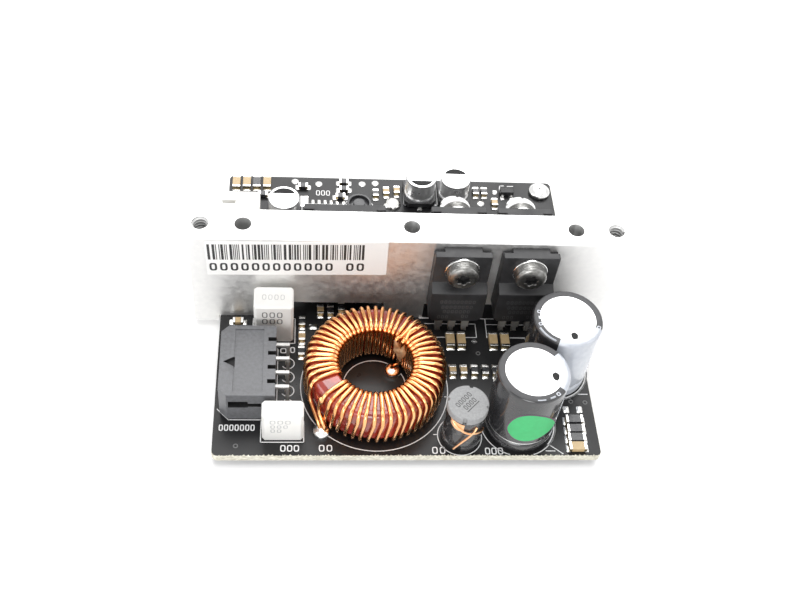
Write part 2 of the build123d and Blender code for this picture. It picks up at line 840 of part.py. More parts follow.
tab_len = chip_base / 3
with BuildPart() as chip_tabs:
    for x, y in chip_cans:
        for side in (-1, 1):
            tab_y = y + side * (chip_base / 2 + chip_tab_reach - tab_len / 2)
            with Locations(on_board(x, tab_y, pad_t)):
                Box(chip_tab_w, tab_len, chip_tab_t, align=BASE)
save(chip_tabs.part, "chip_capacitor_tabs")


# Controller: a flat body with bent leads along both long sides
control_x, control_y, _ = on_board(*controller)
control_mid_z = pad_top + controller_gap + controller_body_h / 2
controller_xs = [
    control_x + (index - (controller_leads - 1) / 2) * controller_pitch
    for index in range(controller_leads)
]
with BuildPart() as controller_body:
    with Locations((control_x, control_y, pad_top + controller_gap)):
        Box(controller_len, controller_w, controller_body_h, align=BASE)
    chamfer(controller_body.faces().sort_by(Axis.Z)[-1].edges(), controller_gap)
save(controller_body.part, "controller_body")

with BuildPart() as controller_feet:
    for side in (-1, 1):
        start = control_y + side * controller_w / 2
        knee = start + side * controller_reach / 2
        tip = start + side * controller_reach
        half = controller_lead_t / 2
        for x in controller_xs:
            with BuildSketch(Plane.YZ.offset(x)):
                with BuildLine():
                    Polyline(
                        (start, control_mid_z + half), (knee, control_mid_z + half),
                        (knee + side * half * 2, pad_top + controller_lead_t),
                        (tip, pad_top + controller_lead_t),
                        (tip, pad_top), (knee, pad_top), (knee - side * half * 2, control_mid_z - half),
                        (start, control_mid_z - half), close=True,
                    )
                make_face()
            extrude(amount=controller_lead_w / 2, both=True)
save(controller_feet.part, "controller_leads")


# Small transistor: a flat body with two leads in front and one behind
small_x, small_y, _ = on_board(*small_transistor)
small_feet = ((-0.33, -1), (0.33, -1), (0, 1))
with BuildPart() as small_body:
    with Locations((small_x, small_y, pad_top + controller_gap)):
        Box(small_len, small_w, small_h, align=BASE)
    chamfer(small_body.faces().sort_by(Axis.Z)[-1].edges(), controller_gap)
save(small_body.part, "small_transistor")
with BuildPart() as small_leads:
    for share, side in small_feet:
        foot_y = small_y + side * (small_w / 2 + controller_reach / 4)
        with Locations((small_x + share * small_len, foot_y, pad_top)):
            Box(controller_lead_w, controller_reach / 2, small_h / 2, align=BASE)
save(small_leads.part, "small_transistor_leads")


# Low round choke: an open ring with a post in the middle
with BuildPart() as low_choke:
    with BuildSketch(Plane(on_board(*round_choke))):
        RegularPolygon(round_choke_r, drum_sides)
    extrude(amount=round_choke_h)
    with BuildSketch(Plane(on_board(*round_choke, round_choke_h))):
        RegularPolygon(round_choke_r - round_choke_rim, drum_sides)
        RegularPolygon(round_choke_post_r, head_sides, mode=Mode.SUBTRACT)
    extrude(amount=-round_choke_recess, mode=Mode.SUBTRACT)
save(low_choke.part, "round_choke")


# Chips: a body between two metal ends, each end on its solder pad
def chip_group(chips):
    """The bodies of the listed chips as one part, and their metal ends as another."""
    with BuildPart() as bodies:
        for size, x, y, turn in chips:
            length, width, height = chip_sizes[size]
            with Locations(Location(on_board(x, y, pad_t), (0, 0, turn))):
                Box(length - 2 * chip_end, width, height, align=BASE)
    with BuildPart() as ends:
        for size, x, y, turn in chips:
            length, width, height = chip_sizes[size]
            for side in (-1, 1):
                with Locations(Location(on_board(x, y, pad_t), (0, 0, turn))):
                    with Locations((side * (length - chip_end) / 2, 0, 0)):
                        Box(chip_end, width, height, align=BASE)
    return bodies.part, ends.part


ceramic_bodies, ceramic_ends = chip_group(ceramic_chips)
resistor_bodies, resistor_ends = chip_group(chip_resistors)
save(ceramic_bodies, "ceramic_chips")
save(resistor_bodies, "resistor_chips")
save(ceramic_ends, "ceramic_chip_ends")
save(resistor_ends, "resistor_chip_ends")


# Solder pads on the board
with BuildPart() as pads:
    with BuildSketch(Plane.XY.offset(board_top)):
        for size, x, y, turn in ceramic_chips + chip_resistors:
            length, width, height = chip_sizes[size]
            pad_reach = chip_pad_reaches[size]
            pad_len = chip_end + pad_reach
            for side in (-1, 1):
                with Locations(Location(on_board(x, y), (0, 0, turn))):
                    with Locations((side * (length / 2 + pad_reach - pad_len / 2), 0)):
                        Rectangle(pad_len, width)
        for x, y, pad_w, pad_d in bare_pads:
            with Locations(on_board(x, y)):
                Rectangle(pad_w, pad_d)
        for x, y in round_pads:
            with Locations(on_board(x, y)):
                RegularPolygon(round_pad_r, shank_sides)
        for x in controller_xs:
            for side in (-1, 1):
                pad_y = control_y + side * (controller_w / 2 + controller_reach / 2 + controller_pad / 2)
                with Locations((x, pad_y)):
                    Rectangle(controller_lead_w * 1.6, controller_pad)
        for x, y in chip_cans:
            for side in (-1, 1):
                tab_y = y + side * (chip_base / 2 + chip_tab_reach - tab_len / 2)
                with Locations(on_board(x, tab_y)):
                    Rectangle(chip_tab_w * 1.8, tab_len)
        for share, side in small_feet:
            pad_y = small_y + side * (small_w + controller_reach) / 2
            with Locations((small_x + share * small_len, pad_y)):
                Rectangle(controller_lead_w * 2, controller_reach)
    extrude(amount=pad_t)
save(pads.part, "solder_pads")


# Label on the front face of the bar
with BuildPart() as label:
    with Locations(Location(
        (board_x + label_x, bar_mid_y - (bar_t + label_t) / 2, board_top + label_z), (0, -label_tilt, 0)
    )):
        Box(label_len, label_t, label_h)
save(label.part, "label")


# Solder cones under the board, each with its lead through it
with BuildPart() as cone:
    with BuildSketch(Plane.XY.offset(board_stand)):
        RegularPolygon(joint_r, lead_sides)
    extrude(amount=-joint_h)
    chamfer(cone.faces().sort_by(Axis.Z)[0].edges(), joint_edge)
with BuildPart() as cones:
    with Locations(*[(lead[0], lead[1]) for lead in flat_leads + round_leads]):
        add(cone.part)
    for leads in lead_parts:
        add(leads, mode=Mode.SUBTRACT)
save(cones.part, "solder_joints")


# Circuit board, with a hole for each lead and screw
with BuildPart() as board:
    with BuildSketch(Plane.XY.offset(board_stand)):
        with Locations((board_x, 0)):
            RectangleRounded(board_w, board_d, board_corner)
        for x, y, r in screw_holes + wire_holes:
            with Locations((x, y)):
                RegularPolygon(r, shank_sides, major_radius=False, mode=Mode.SUBTRACT)
        for x, y, r in round_leads:
            with Locations((x, y)):
                RegularPolygon(r + lead_fit, lead_sides, mode=Mode.SUBTRACT)
        for x, y, width, depth in flat_leads:
            with Locations((x, y)):
                Rectangle(width + 2 * lead_fit, depth + 2 * lead_fit, mode=Mode.SUBTRACT)
    extrude(amount=board_t)
save(board.part, "circuit_board")
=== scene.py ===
import json
import math
import random

import bmesh
import bpy
from mathutils import Matrix, Vector


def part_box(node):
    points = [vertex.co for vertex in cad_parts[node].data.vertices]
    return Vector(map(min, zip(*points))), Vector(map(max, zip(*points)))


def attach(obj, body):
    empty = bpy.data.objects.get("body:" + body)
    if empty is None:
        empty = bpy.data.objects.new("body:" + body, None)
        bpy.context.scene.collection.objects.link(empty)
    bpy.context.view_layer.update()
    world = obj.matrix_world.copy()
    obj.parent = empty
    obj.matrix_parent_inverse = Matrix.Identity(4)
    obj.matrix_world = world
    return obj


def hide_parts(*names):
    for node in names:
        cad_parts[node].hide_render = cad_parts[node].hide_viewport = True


# Power supply module: the looks of the circuit board, the heatsink bar and the parts on them.
# The frame is in metres. Places on the board are in mm from its middle (x) and front edge (y).

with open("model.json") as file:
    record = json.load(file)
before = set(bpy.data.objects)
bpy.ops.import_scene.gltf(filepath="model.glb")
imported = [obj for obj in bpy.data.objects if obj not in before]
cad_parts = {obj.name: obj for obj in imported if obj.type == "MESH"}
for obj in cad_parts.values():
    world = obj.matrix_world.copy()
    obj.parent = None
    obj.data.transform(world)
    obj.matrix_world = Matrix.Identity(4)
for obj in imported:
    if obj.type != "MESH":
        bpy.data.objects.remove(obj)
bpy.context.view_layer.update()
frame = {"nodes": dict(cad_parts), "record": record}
nodes = frame["nodes"]

MM = 0.001
BOARD_LOW, BOARD_HIGH = (Vector(corner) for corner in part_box("circuit_board"))
BOARD_X = (BOARD_LOW.x + BOARD_HIGH.x) / 2
BOARD_TOP = BOARD_HIGH.z


def spot(x, y, up=0.0):
    """The point x, y on the board, up above its top, all in mm."""
    return Vector((BOARD_X + x * MM, BOARD_LOW.y + y * MM, BOARD_TOP + up * MM))


def middle(node):
    """The middle of a node's box, and the box's size."""
    low, high = (Vector(corner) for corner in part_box(node))
    return (low + high) / 2, high - low


# Camera and light

CAMERA_PLACE = Vector((-20.649, -125.609, 164.18)) * MM
CAMERA_PITCH = math.radians(51.375)
CAMERA_YAW = math.radians(8.845)
CAMERA_ROLL = math.radians(7.723)
FOCAL_PX = 1051.65
AXIS_PX = (396.62, 298.83)
PICTURE = (800, 600)


def add_camera():
    look = Vector((
        math.sin(CAMERA_YAW) * math.cos(CAMERA_PITCH),
        math.cos(CAMERA_YAW) * math.cos(CAMERA_PITCH),
        -math.sin(CAMERA_PITCH),
    ))
    level = Vector((math.cos(CAMERA_YAW), -math.sin(CAMERA_YAW), 0.0))
    upright = level.cross(look)
    right = level * math.cos(CAMERA_ROLL) + upright * math.sin(CAMERA_ROLL)
    up = upright * math.cos(CAMERA_ROLL) - level * math.sin(CAMERA_ROLL)
    data = bpy.data.cameras.new("camera")
    data.sensor_width = 36.0
    data.lens = FOCAL_PX / PICTURE[0] * data.sensor_width
    data.shift_x = (PICTURE[0] / 2 - AXIS_PX[0]) / PICTURE[0]
    data.shift_y = (AXIS_PX[1] - PICTURE[1] / 2) / PICTURE[0]
    data.clip_start = 0.005
    camera = add_object("camera", data)
    turn = Matrix((right, up, -look)).transposed()
    camera.matrix_world = Matrix.Translation(CAMERA_PLACE) @ turn.to_4x4()
    bpy.context.scene.camera = camera


def add_object(name, data):
    thing = bpy.data.objects.new(name, data)
    bpy.context.scene.collection.objects.link(thing)
    return thing


def add_lamp(name, place, aim, size, watts):
    data = bpy.data.lights.new(name, "AREA")
    data.shape = "DISK"
    data.size = size
    data.energy = watts
    lamp = add_object(name, data)
    lamp.location = place
    lamp.rotation_euler = (Vector(aim) - Vector(place)).to_track_quat("-Z", "Y").to_euler()


def fill(tree, node, inputs):
    """Link or set inputs of a shader node."""
    for key, value in inputs.items():
        if isinstance(value, bpy.types.NodeSocket):
            tree.links.new(value, node.inputs[key])
        else:
            node.inputs[key].default_value = value


def shade(tree, kind, result, inputs, **settings):
    """A new shader node, and the output of it that is wanted."""
    node = tree.nodes.new("ShaderNode" + kind)
    for key, value in settings.items():
        setattr(node, key, value)
    fill(tree, node, inputs)
    return node.outputs[result]


def new_material(name):
    mat = bpy.data.materials.new(name)
    mat.use_nodes = True
    return mat, mat.node_tree, mat.node_tree.nodes["Principled BSDF"]


def seen_directly(tree):
    """1 for rays that show the backdrop: from the camera, from a mirror or through glass."""
    path = tree.nodes.new("ShaderNodeLightPath")
    total = path.outputs["Is Camera Ray"]
    for name in ("Is Glossy Ray", "Is Transmission Ray"):
        total = shade(tree, "Math", 0, {0: total, 1: path.outputs[name]}, operation="MAXIMUM")
    return total


WHITE = (1.0, 1.0, 1.0, 1.0)
WORLD_LIGHT = 0.25
# Name, place, aim, size in metres, and watts
LAMPS = (
    ("key", (0.06, 0.40, 0.50), (0, 0, 0), 0.50, 3.0),
    ("top", (-0.02, -0.06, 0.60), (0, 0, 0), 0.40, 1.5),
    ("left", (-0.55, -0.10, 0.30), (0, 0, 0.01), 0.35, 0.8),
    ("right", (0.55, -0.15, 0.35), (0, 0, 0.01), 0.35, 0.6),
    ("front", (-0.12, -0.60, 0.22), (0, 0, 0.01), 0.35, 1.8),
)


FLOOR_HALF = 3.0
FLOOR_COLOR = (0.9, 0.9, 0.9, 1.0)
FLOOR_ROUGH = 0.9
FLOOR_LIFT = (0.26, 0.85)
FLOOR_REACH = (0.15, 0.6)


def add_world():
    world = bpy.data.worlds.new("studio")
    bpy.context.scene.world = world
    world.use_nodes = True
    tree = world.node_tree
    level = ranged(tree, seen_directly(tree), WORLD_LIGHT, 1.0, 0.0, 1.0)
    fill(tree, tree.nodes["Background"], {"Color": WHITE, "Strength": level})


def add_floor():
    """A white floor, lifted further out so that it is as white as the backdrop."""
    data = bpy.data.meshes.new("floor")
    half = FLOOR_HALF
    data.from_pydata(
        [(-half, -half, 0), (half, -half, 0), (half, half, 0), (-half, half, 0)], [], [(0, 1, 2, 3)]
    )
    floor = add_object("floor", data)
    mat, tree, shader = new_material("floor_white")
    where = shade(tree, "TexCoord", "Object", {})
    away = shade(tree, "VectorMath", "Value", {0: where}, operation="LENGTH")
    lift = ranged(tree, away, *FLOOR_LIFT, *FLOOR_REACH)
    lift = shade(tree, "Math", 0, {0: seen_directly(tree), 1: lift}, operation="MULTIPLY")
    fill(tree, shader, {"Base Color": FLOOR_COLOR, "Roughness": FLOOR_ROUGH, "Specular IOR Level": 0.0,
                        "Emission Color": WHITE, "Emission Strength": lift})
    data.materials.append(mat)


# Materials

COAT_ROUGH = 0.06


def mixed(tree, factor, low, high):
    """A colour between two others."""
    return shade(tree, "Mix", "Result", {"A": (*low, 1.0), "B": (*high, 1.0), "Factor": factor},
                 data_type="RGBA")


def noise(tree, size_mm, stretch):
    """Noise with spots of about size_mm, from the object's own coordinates."""
    where = shade(tree, "TexCoord", "Object", {})
    scaled = shade(tree, "Mapping", "Vector", {"Scale": stretch, "Vector": where})
    return shade(tree, "TexNoise", "Fac", {"Scale": 0.5 / (size_mm * MM), "Detail": 3.0, "Vector": scaled})


def ranged(tree, value, low, high, start=0.3, end=0.7):
    """The value, taken from start..end to low..high."""
    return shade(tree, "MapRange", "Result",
                 {"From Min": start, "From Max": end, "To Min": low, "To Max": high, "Value": value})


def finish(name, color, rough, spots=None, grain=None, metal=0.0, coat=0.0, shine=0.5, stretch=(1, 1, 1)):
    """A material. rough is its lowest and highest roughness, spots is (mm, other colour), and
    grain is (mm, height in mm)."""
    mat, tree, shader = new_material(name)
    spot_mm, other = spots or (1.0, color)
    cloud = noise(tree, spot_mm, stretch)
    base = mixed(tree, ranged(tree, cloud, 0, 1), color, other) if spots else (*color, 1.0)
    fill(tree, shader, {"Metallic": metal, "Coat Weight": coat, "Specular IOR Level": shine,
                        "Coat Roughness": COAT_ROUGH, "Base Color": base,
                        "Roughness": ranged(tree, cloud, *rough)})
    if grain:
        height = noise(tree, grain[0], stretch)
        bump = shade(tree, "Bump", "Normal", {"Distance": grain[1] * MM, "Strength": 1.0, "Height": height})
        fill(tree, shader, {"Normal": bump})
    return mat


ALUMINIUM = finish("bar_aluminium", (0.76, 0.757, 0.75), (0.44, 0.56), (0.5, (0.82, 0.816, 0.805)),
    (0.14, 0.012), metal=1.0)
# Painted shade: a darker, less metallic grey for the walls inside the bar's holes and their thread.
BORE_PAINTED_SHADE = finish("bore_shadow", (0.56, 0.56, 0.555), (0.4, 0.6), metal=0.5, grain=(0.2, 0.02))
# Near-black: painted shade inside the connector's slots, notches and mouth and inside the screws' sockets,
# and also the print of the chip cans' segments and the dark vent marks on the cans' tops.
BLACK_SHADE_AND_PRINT = finish("black_painted_shade_and_print", (0.012, 0.012, 0.013), (0.5, 0.7), (0.3, (0.03, 0.03, 0.03)), shine=0.2)
MASK = finish("board_mask", (0.010, 0.010, 0.011), (0.26, 0.40), (3.0, (0.016, 0.016, 0.017)), (0.5, 0.004),
    shine=0.28)
FIBRE = finish("board_fibre", (0.90, 0.87, 0.75), (0.5, 0.8), (0.35, (0.50, 0.47, 0.38)), (0.2, 0.03),
    stretch=(1, 1, 2.5))
INK = finish("silkscreen_ink", (0.93, 0.93, 0.93), (0.5, 0.7), (0.3, (0.82, 0.82, 0.82)))
EPOXY = finish("package_epoxy", (0.020, 0.020, 0.021), (0.40, 0.54), (0.8, (0.030, 0.030, 0.032)),
    (0.12, 0.01), shine=0.42)
EPOXY_PRINT = finish("package_print", (0.11, 0.11, 0.114), (0.5, 0.6), (0.2, (0.07, 0.07, 0.072)))
TIN = finish("tinned_metal", (0.56, 0.555, 0.54), (0.32, 0.46), (0.6, (0.47, 0.465, 0.45)), (0.4, 0.003),
    metal=0.6)
LEAD = finish("lead_tin", (0.42, 0.415, 0.40), (0.36, 0.5), (0.6, (0.34, 0.335, 0.32)), (0.3, 0.004),
    metal=0.15)
SOLDER = finish("solder_metal", (0.95, 0.945, 0.93), (0.14, 0.26), (0.9, (0.86, 0.85, 0.83)), (1.1, 0.012),
    metal=1.0)
# Painted shade: a darker, warmer copy of the chip ends' metal for their sides.
END_SIDE_PAINTED_SHADE = finish("chip_end_side_painted_shade", (0.42, 0.33, 0.17), (0.3, 0.45), (0.4, (0.20, 0.16, 0.09)), (0.3, 0.01),
    metal=0.9)
STEEL = finish("screw_steel", (0.30, 0.298, 0.29), (0.28, 0.44), (0.35, (0.16, 0.158, 0.15)), (0.26, 0.025),
    metal=1.0)
BRIGHT_STEEL = finish("bright_steel", (0.88, 0.88, 0.87), (0.16, 0.3), (0.6, (0.76, 0.76, 0.75)),
    (0.3, 0.006), metal=1.0)
VARNISHED = finish("core_varnish", (0.22, 0.016, 0.010), (0.08, 0.24), (1.4, (0.46, 0.05, 0.03)),
    (1.1, 0.10), coat=0.7)
# Dark grey: the via rings' own colour, and also painted shade for the dark lines of the bar's thread and the
# rims of the chip cans.
DARK_TIN_AND_PAINTED_SHADE = finish("via_ring_and_painted_shade", (0.10, 0.10, 0.10), (0.3, 0.5), (0.4, (0.16, 0.16, 0.16)))
COPPER = finish("enamelled_copper", (0.97, 0.52, 0.22), (0.13, 0.22), (1.8, (0.80, 0.35, 0.12)),
    (0.8, 0.010), metal=1.0, coat=0.6)
RAW_COPPER = finish("bare_copper", (0.97, 0.60, 0.36), (0.22, 0.36), (0.6, (0.90, 0.44, 0.22)), (0.4, 0.01),
    metal=1.0)
AMBER = finish("dried_varnish", (0.72, 0.50, 0.30), (0.12, 0.3), (0.5, (0.34, 0.15, 0.06)), (0.5, 0.06),
    coat=1.0)
GREY_PLASTIC = finish("connector_grey", (0.11, 0.112, 0.118), (0.38, 0.54), (0.3, (0.165, 0.168, 0.178)),
    (0.16, 0.015))
WHITE_PLASTIC = finish("connector_white", (0.86, 0.85, 0.82), (0.35, 0.5), (0.9, (0.80, 0.79, 0.75)),
    (0.2, 0.008))
FILM_CASE = finish("film_case", (0.93, 0.925, 0.90), (0.28, 0.42), (1.1, (0.89, 0.88, 0.85)), (0.5, 0.01))
FILM_PRINT = finish("film_print", (0.13, 0.13, 0.13), (0.4, 0.5), (0.2, (0.20, 0.20, 0.20)))
FAINT_PRINT = finish("faint_print", (0.52, 0.52, 0.51), (0.4, 0.5), (0.2, (0.66, 0.66, 0.65)))
CAN = finish("can_aluminium", (0.97, 0.97, 0.97), (0.26, 0.38), (0.9, (0.93, 0.93, 0.93)), (0.25, 0.004),
    metal=0.8)
SLEEVE = finish("sleeve_film", (0.028, 0.028, 0.030), (0.12, 0.22), (2.2, (0.045, 0.045, 0.048)),
    (1.6, 0.02), coat=0.4)
SLEEVE_LIP = finish("sleeve_lip", (0.075, 0.075, 0.078), (0.4, 0.55), (0.9, (0.10, 0.10, 0.104)),
    (0.8, 0.01), shine=0.25)
STRIPE = finish("sleeve_stripe", (0.58, 0.61, 0.66), (0.14, 0.26), (0.7, (0.50, 0.53, 0.59)), (1.6, 0.02),
    coat=0.4)
STICKER = finish("round_sticker", (0.080, 0.50, 0.185), (0.5, 0.62), (0.4, (0.09, 0.55, 0.21)),
    (0.25, 0.008), shine=0.2)
STICKER_EDGE = finish("sticker_edge", (0.12, 0.05, 0.11), (0.4, 0.5), (0.4, (0.16, 0.07, 0.14)))
FERRITE = finish("ferrite_ground", (0.27, 0.273, 0.276), (0.5, 0.7), (0.16, (0.37, 0.373, 0.377)),
    (0.1, 0.02))
# Painted light: a near-white copy of the ferrite for the rear chokes' tops, which stand in strong light.
FERRITE_PAINTED_LIGHT = finish("ferrite_painted_light", (0.88, 0.88, 0.87), (0.4, 0.6), (0.16, (0.95, 0.95, 0.94)),
    (0.1, 0.01))
DARK_FERRITE = finish("ferrite_dark", (0.035, 0.035, 0.038), (0.25, 0.45), (0.5, (0.07, 0.07, 0.075)),
    (0.2, 0.02))
WRAP = finish("choke_wrap", (0.028, 0.028, 0.03), (0.16, 0.3), (1.2, (0.05, 0.05, 0.052)), (0.9, 0.06),
    coat=0.4)
BLACK_BASE = finish("base_black", (0.02, 0.02, 0.021), (0.35, 0.5), (0.6, (0.03, 0.03, 0.032)), (0.15, 0.01))
TAN_CERAMIC = finish("chip_ceramic", (0.54, 0.39, 0.20), (0.3, 0.5), (0.35, (0.62, 0.46, 0.26)),
    (0.2, 0.006))
CHIP_GLAZE = finish("chip_glaze", (0.02, 0.02, 0.022), (0.16, 0.3), (0.4, (0.05, 0.05, 0.055)), (0.2, 0.008))
PAPER = finish("label_paper", (0.96, 0.955, 0.945), (0.5, 0.65), (1.2, (0.93, 0.925, 0.915)), (0.3, 0.004))
PRINT = finish("label_print", (0.015, 0.015, 0.015), (0.4, 0.5), (0.2, (0.04, 0.04, 0.04)))


# Ways to make a piece

RIGHT, REAR, UP = Vector((1, 0, 0)), Vector((0, 1, 0)), Vector((0, 0, 1))
ORIGIN = Vector((0, 0, 0))


SHARP_DEG = 32
SAME_POINT = 1e-6
ONE_PLANE_DEG = 0.5


def settle(piece, stands_for):
    """Make a piece ride on the module, and hide the nodes it stands for."""
    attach(piece, "root")
    if stands_for:
        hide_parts(*stands_for)


def add_piece(name, form, finishes, slot, *stands_for, smooth_deg=SHARP_DEG):
    """Put a mesh or a build in the scene as a piece of the module."""
    mesh = form.mesh(name) if isinstance(form, Build) else form
    for mat in finishes:
        mesh.materials.append(mat)
    mesh.shade_smooth()
    mesh.set_sharp_from_angle(angle=math.radians(smooth_deg))
    piece = add_object(name, mesh)
    settle(piece, stands_for)
    return piece


def slot_of(node):
    for part in frame["record"]["subparts"]:
        if part["node"] == node:
            return part["material_slot"]
    raise ValueError(node)


def soften(piece, edge_mm, segments=2):
    """Round the sharp edges of a piece a little."""
    bevel = piece.modifiers.new("edge", "BEVEL")
    bevel.width = edge_mm * MM
    bevel.segments = segments
    bevel.limit_method = "ANGLE"
    bevel.angle_limit = math.radians(SHARP_DEG)
    bevel.harden_normals = True


def clean_copy(node):
    """A copy of a node's mesh with its flat faces whole."""
    mesh = nodes[node].data.copy()
    mesh.materials.clear()
    work = bmesh.new()
    work.from_mesh(mesh)
    bmesh.ops.remove_doubles(work, verts=work.verts, dist=SAME_POINT)
    limit = math.radians(ONE_PLANE_DEG)
    bmesh.ops.dissolve_limit(work, angle_limit=limit, verts=work.verts, edges=work.edges)
    for face in work.faces:
        face.material_index = 0
    work.to_mesh(mesh)
    work.free()
    return mesh


def dress(node, mat, edge_mm=0.08):
    """The node's own form with softened edges and a finish."""
    soften(add_piece(node + "_dressed", clean_copy(node), [mat], slot_of(node), node), edge_mm)


class Build:
    """Collects rings, strips and tubes in one mesh. All sizes are in metres."""

    def __init__(self):
        self.points = []
        self.faces = []
        self.inks = []

    def face(self, corners, ink=0):
        self.faces.append(corners)
        self.inks.append(ink)

    def flat(self, places):
        """One face through all the places."""
        first = len(self.points)
        self.points += [tuple(place) for place in places]
        self.face(tuple(range(first, len(self.points))))

    def strip(self, pairs, closed=False):
        """A strip of faces between pairs of places. closed joins the last pair to the first."""
        first = len(self.points)
        self.points += [tuple(place) for pair in pairs for place in pair]
        for i in range(len(pairs) if closed else len(pairs) - 1):
            low = first + 2 * i
            high = first + 2 * ((i + 1) % len(pairs))
            self.face((low, low + 1, high + 1, high))

    def rings(self, rings, inks=None, closed_start=False, closed_end=False, loop=False):
        """Join rings of points with as many points each. loop joins the last to the first."""
        count = len(rings[0])
        first = len(self.points)
        for ring in rings:
            self.points += [tuple(point) for point in ring]
        spans = len(rings) if loop else len(rings) - 1
        for i in range(spans):
            low = first + i * count
            high = first + (i + 1) % len(rings) * count
            ink = inks[i] if inks else 0
            for j in range(count):
                k = (j + 1) % count
                self.face((low + j, low + k, high + k, high + j), ink)
        if closed_start:
            self.face(tuple(first + j for j in reversed(range(count))), inks[0] if inks else 0)
        if closed_end:
            last = first + (len(rings) - 1) * count
            self.face(tuple(last + j for j in range(count)), inks[-1] if inks else 0)

    def mesh(self, name):
        data = bpy.data.meshes.new(name)
        data.from_pydata(self.points, [], self.faces)
        for polygon, ink in zip(data.polygons, self.inks):
            polygon.material_index = ink
        work = bmesh.new()
        work.from_mesh(data)
        bmesh.ops.recalc_face_normals(work, faces=work.faces)
        work.to_mesh(data)
        work.free()
        return data


def polar(reach, angle, up=0.0):
    """A place from its distance and angle round an upright axis."""
    return Vector((reach * math.cos(angle), reach * math.sin(angle), up))


def circle(centre, radius, height, steps, wave=None):
    """A level ring of points. wave scales the radius at an angle."""
    angles = [2 * math.pi * i / steps for i in range(steps)]
    return [centre + polar(radius * (wave(angle) if wave else 1.0), angle, height) for angle in angles]


def arc_between(start, end, steps):
    """Angles in radians from start to end, which are in degrees."""
    return [math.radians(start + (end - start) * i / steps) for i in range(steps + 1)]


def box_middle(low, high, z):
    """The middle of a box, at a height."""
    return Vector(((low.x + high.x) / 2, (low.y + high.y) / 2, z))


def turned(build, centre, profile, steps=72, inks=None):
    """Turn a profile of (radius, height) in mm about a vertical axis through centre."""
    rings = [circle(centre, max(r, 0.001) * MM, z * MM, steps) for r, z in profile]
    build.rings(rings, inks)


def rounded(corner_from, corner, corner_to, radius, steps=5):
    """Points of an arc that rounds a corner of a profile."""
    start = Vector(corner_from) - Vector(corner)
    end = Vector(corner_to) - Vector(corner)
    half = start.angle(end) / 2
    reach = min(radius / math.tan(half), start.length * 0.49, end.length * 0.49)
    first = Vector(corner) + start.normalized() * reach
    last = Vector(corner) + end.normalized() * reach
    points = []
    for i in range(steps + 1):
        t = i / steps
        points.append(tuple(first * (1 - t) ** 2 + Vector(corner) * 2 * t * (1 - t) + last * t**2))
    return points


def smooth_profile(corners, radius):
    """A profile with its inner corners rounded."""
    out = [corners[0]]
    for before, here, after in zip(corners, corners[1:], corners[2:]):
        out += rounded(before, here, after, radius)
    return out + [corners[-1]]


def islands(node):
    """The box of each separate solid of a node."""
    mesh = nodes[node].data
    work = bmesh.new()
    work.from_mesh(mesh)
    bmesh.ops.remove_doubles(work, verts=work.verts, dist=SAME_POINT)
    seen = set()
    boxes = []
    for start in work.verts:
        if start in seen:
            continue
        seen.add(start)
        queue = [start]
        group = []
        while queue:
            vertex = queue.pop()
            group.append(vertex.co.copy())
            for edge in vertex.link_edges:
                other = edge.other_vert(vertex)
                if other not in seen:
                    seen.add(other)
                    queue.append(other)
        low = Vector([min(p[i] for p in group) for i in range(3)])
        high = Vector([max(p[i] for p in group) for i in range(3)])
        boxes.append((low, high))
    work.free()
    return boxes


WIRE_SIDES = 3


def add_wire(name, paths, radius_mm, mat, slot, *stands_for):
    """Round wires along lists of points."""
    data = bpy.data.curves.new(name, "CURVE")
    data.dimensions = "3D"
    data.bevel_depth = radius_mm * MM
    data.bevel_resolution = WIRE_SIDES
    data.use_fill_caps = True
    for path in paths:
        line = data.splines.new("POLY")
        line.points.add(len(path) - 1)
        for point, place in zip(line.points, path):
            point.co = (*place, 1.0)
        line.use_smooth = True
    data.materials.append(mat)
    settle(add_object(name, data), stands_for)


def eased(points, steps=8, closed=False):
    """A smooth line through points."""
    points = [Vector(point) for point in points]
    if closed:
        ends = [points[-1]] + points + points[:2]
    else:
        ends = [points[0]] + points + [points[-1]]
    out = []
    for a, b, c, d in zip(ends, ends[1:], ends[2:], ends[3:]):
        for i in range(steps):
            t = i / steps
            out.append(0.5 * (2 * b + (c - a) * t + (2 * a - 5 * b + 4 * c - d) * t**2
                              + (3 * b - a - 3 * c + d) * t**3))
    return out if closed else out + [points[-1]]


def add_lump(build, places, radii, chance):
    """An uneven rod along places, with its radius in mm at even steps of its length."""
    line = eased(places, 8)
    steps = 20
    phases = [chance.uniform(0, 6.28) for _ in range(3)]
    rings = []
    for i, place in enumerate(line):
        along = (line[min(i + 1, len(line) - 1)] - line[max(i - 1, 0)]).normalized()
        side = along.cross(Vector((0.3, 1, 0))).normalized()
        other = along.cross(side)
        share = i / (len(line) - 1) * (len(radii) - 1)
        index = min(int(share), len(radii) - 2)
        reach = radii[index] + (radii[index + 1] - radii[index]) * (share - index)
        ring = []
        for j in range(steps):
            angle = 2 * math.pi * j / steps
            wave = 1 + 0.13 * math.sin(2 * angle + phases[0] + i * 0.35) + 0.08 * math.sin(
                3 * angle + phases[1] - i * 0.5) + 0.06 * math.sin(phases[2] + i * 0.9)
            ring.append(place + (side * math.cos(angle) + other * math.sin(angle)) * reach * wave * MM)
        rings.append(ring)
    build.rings(rings, closed_start=True, closed_end=True)


ZERO_SQUARE = 0.6
ZERO_STEPS = 24


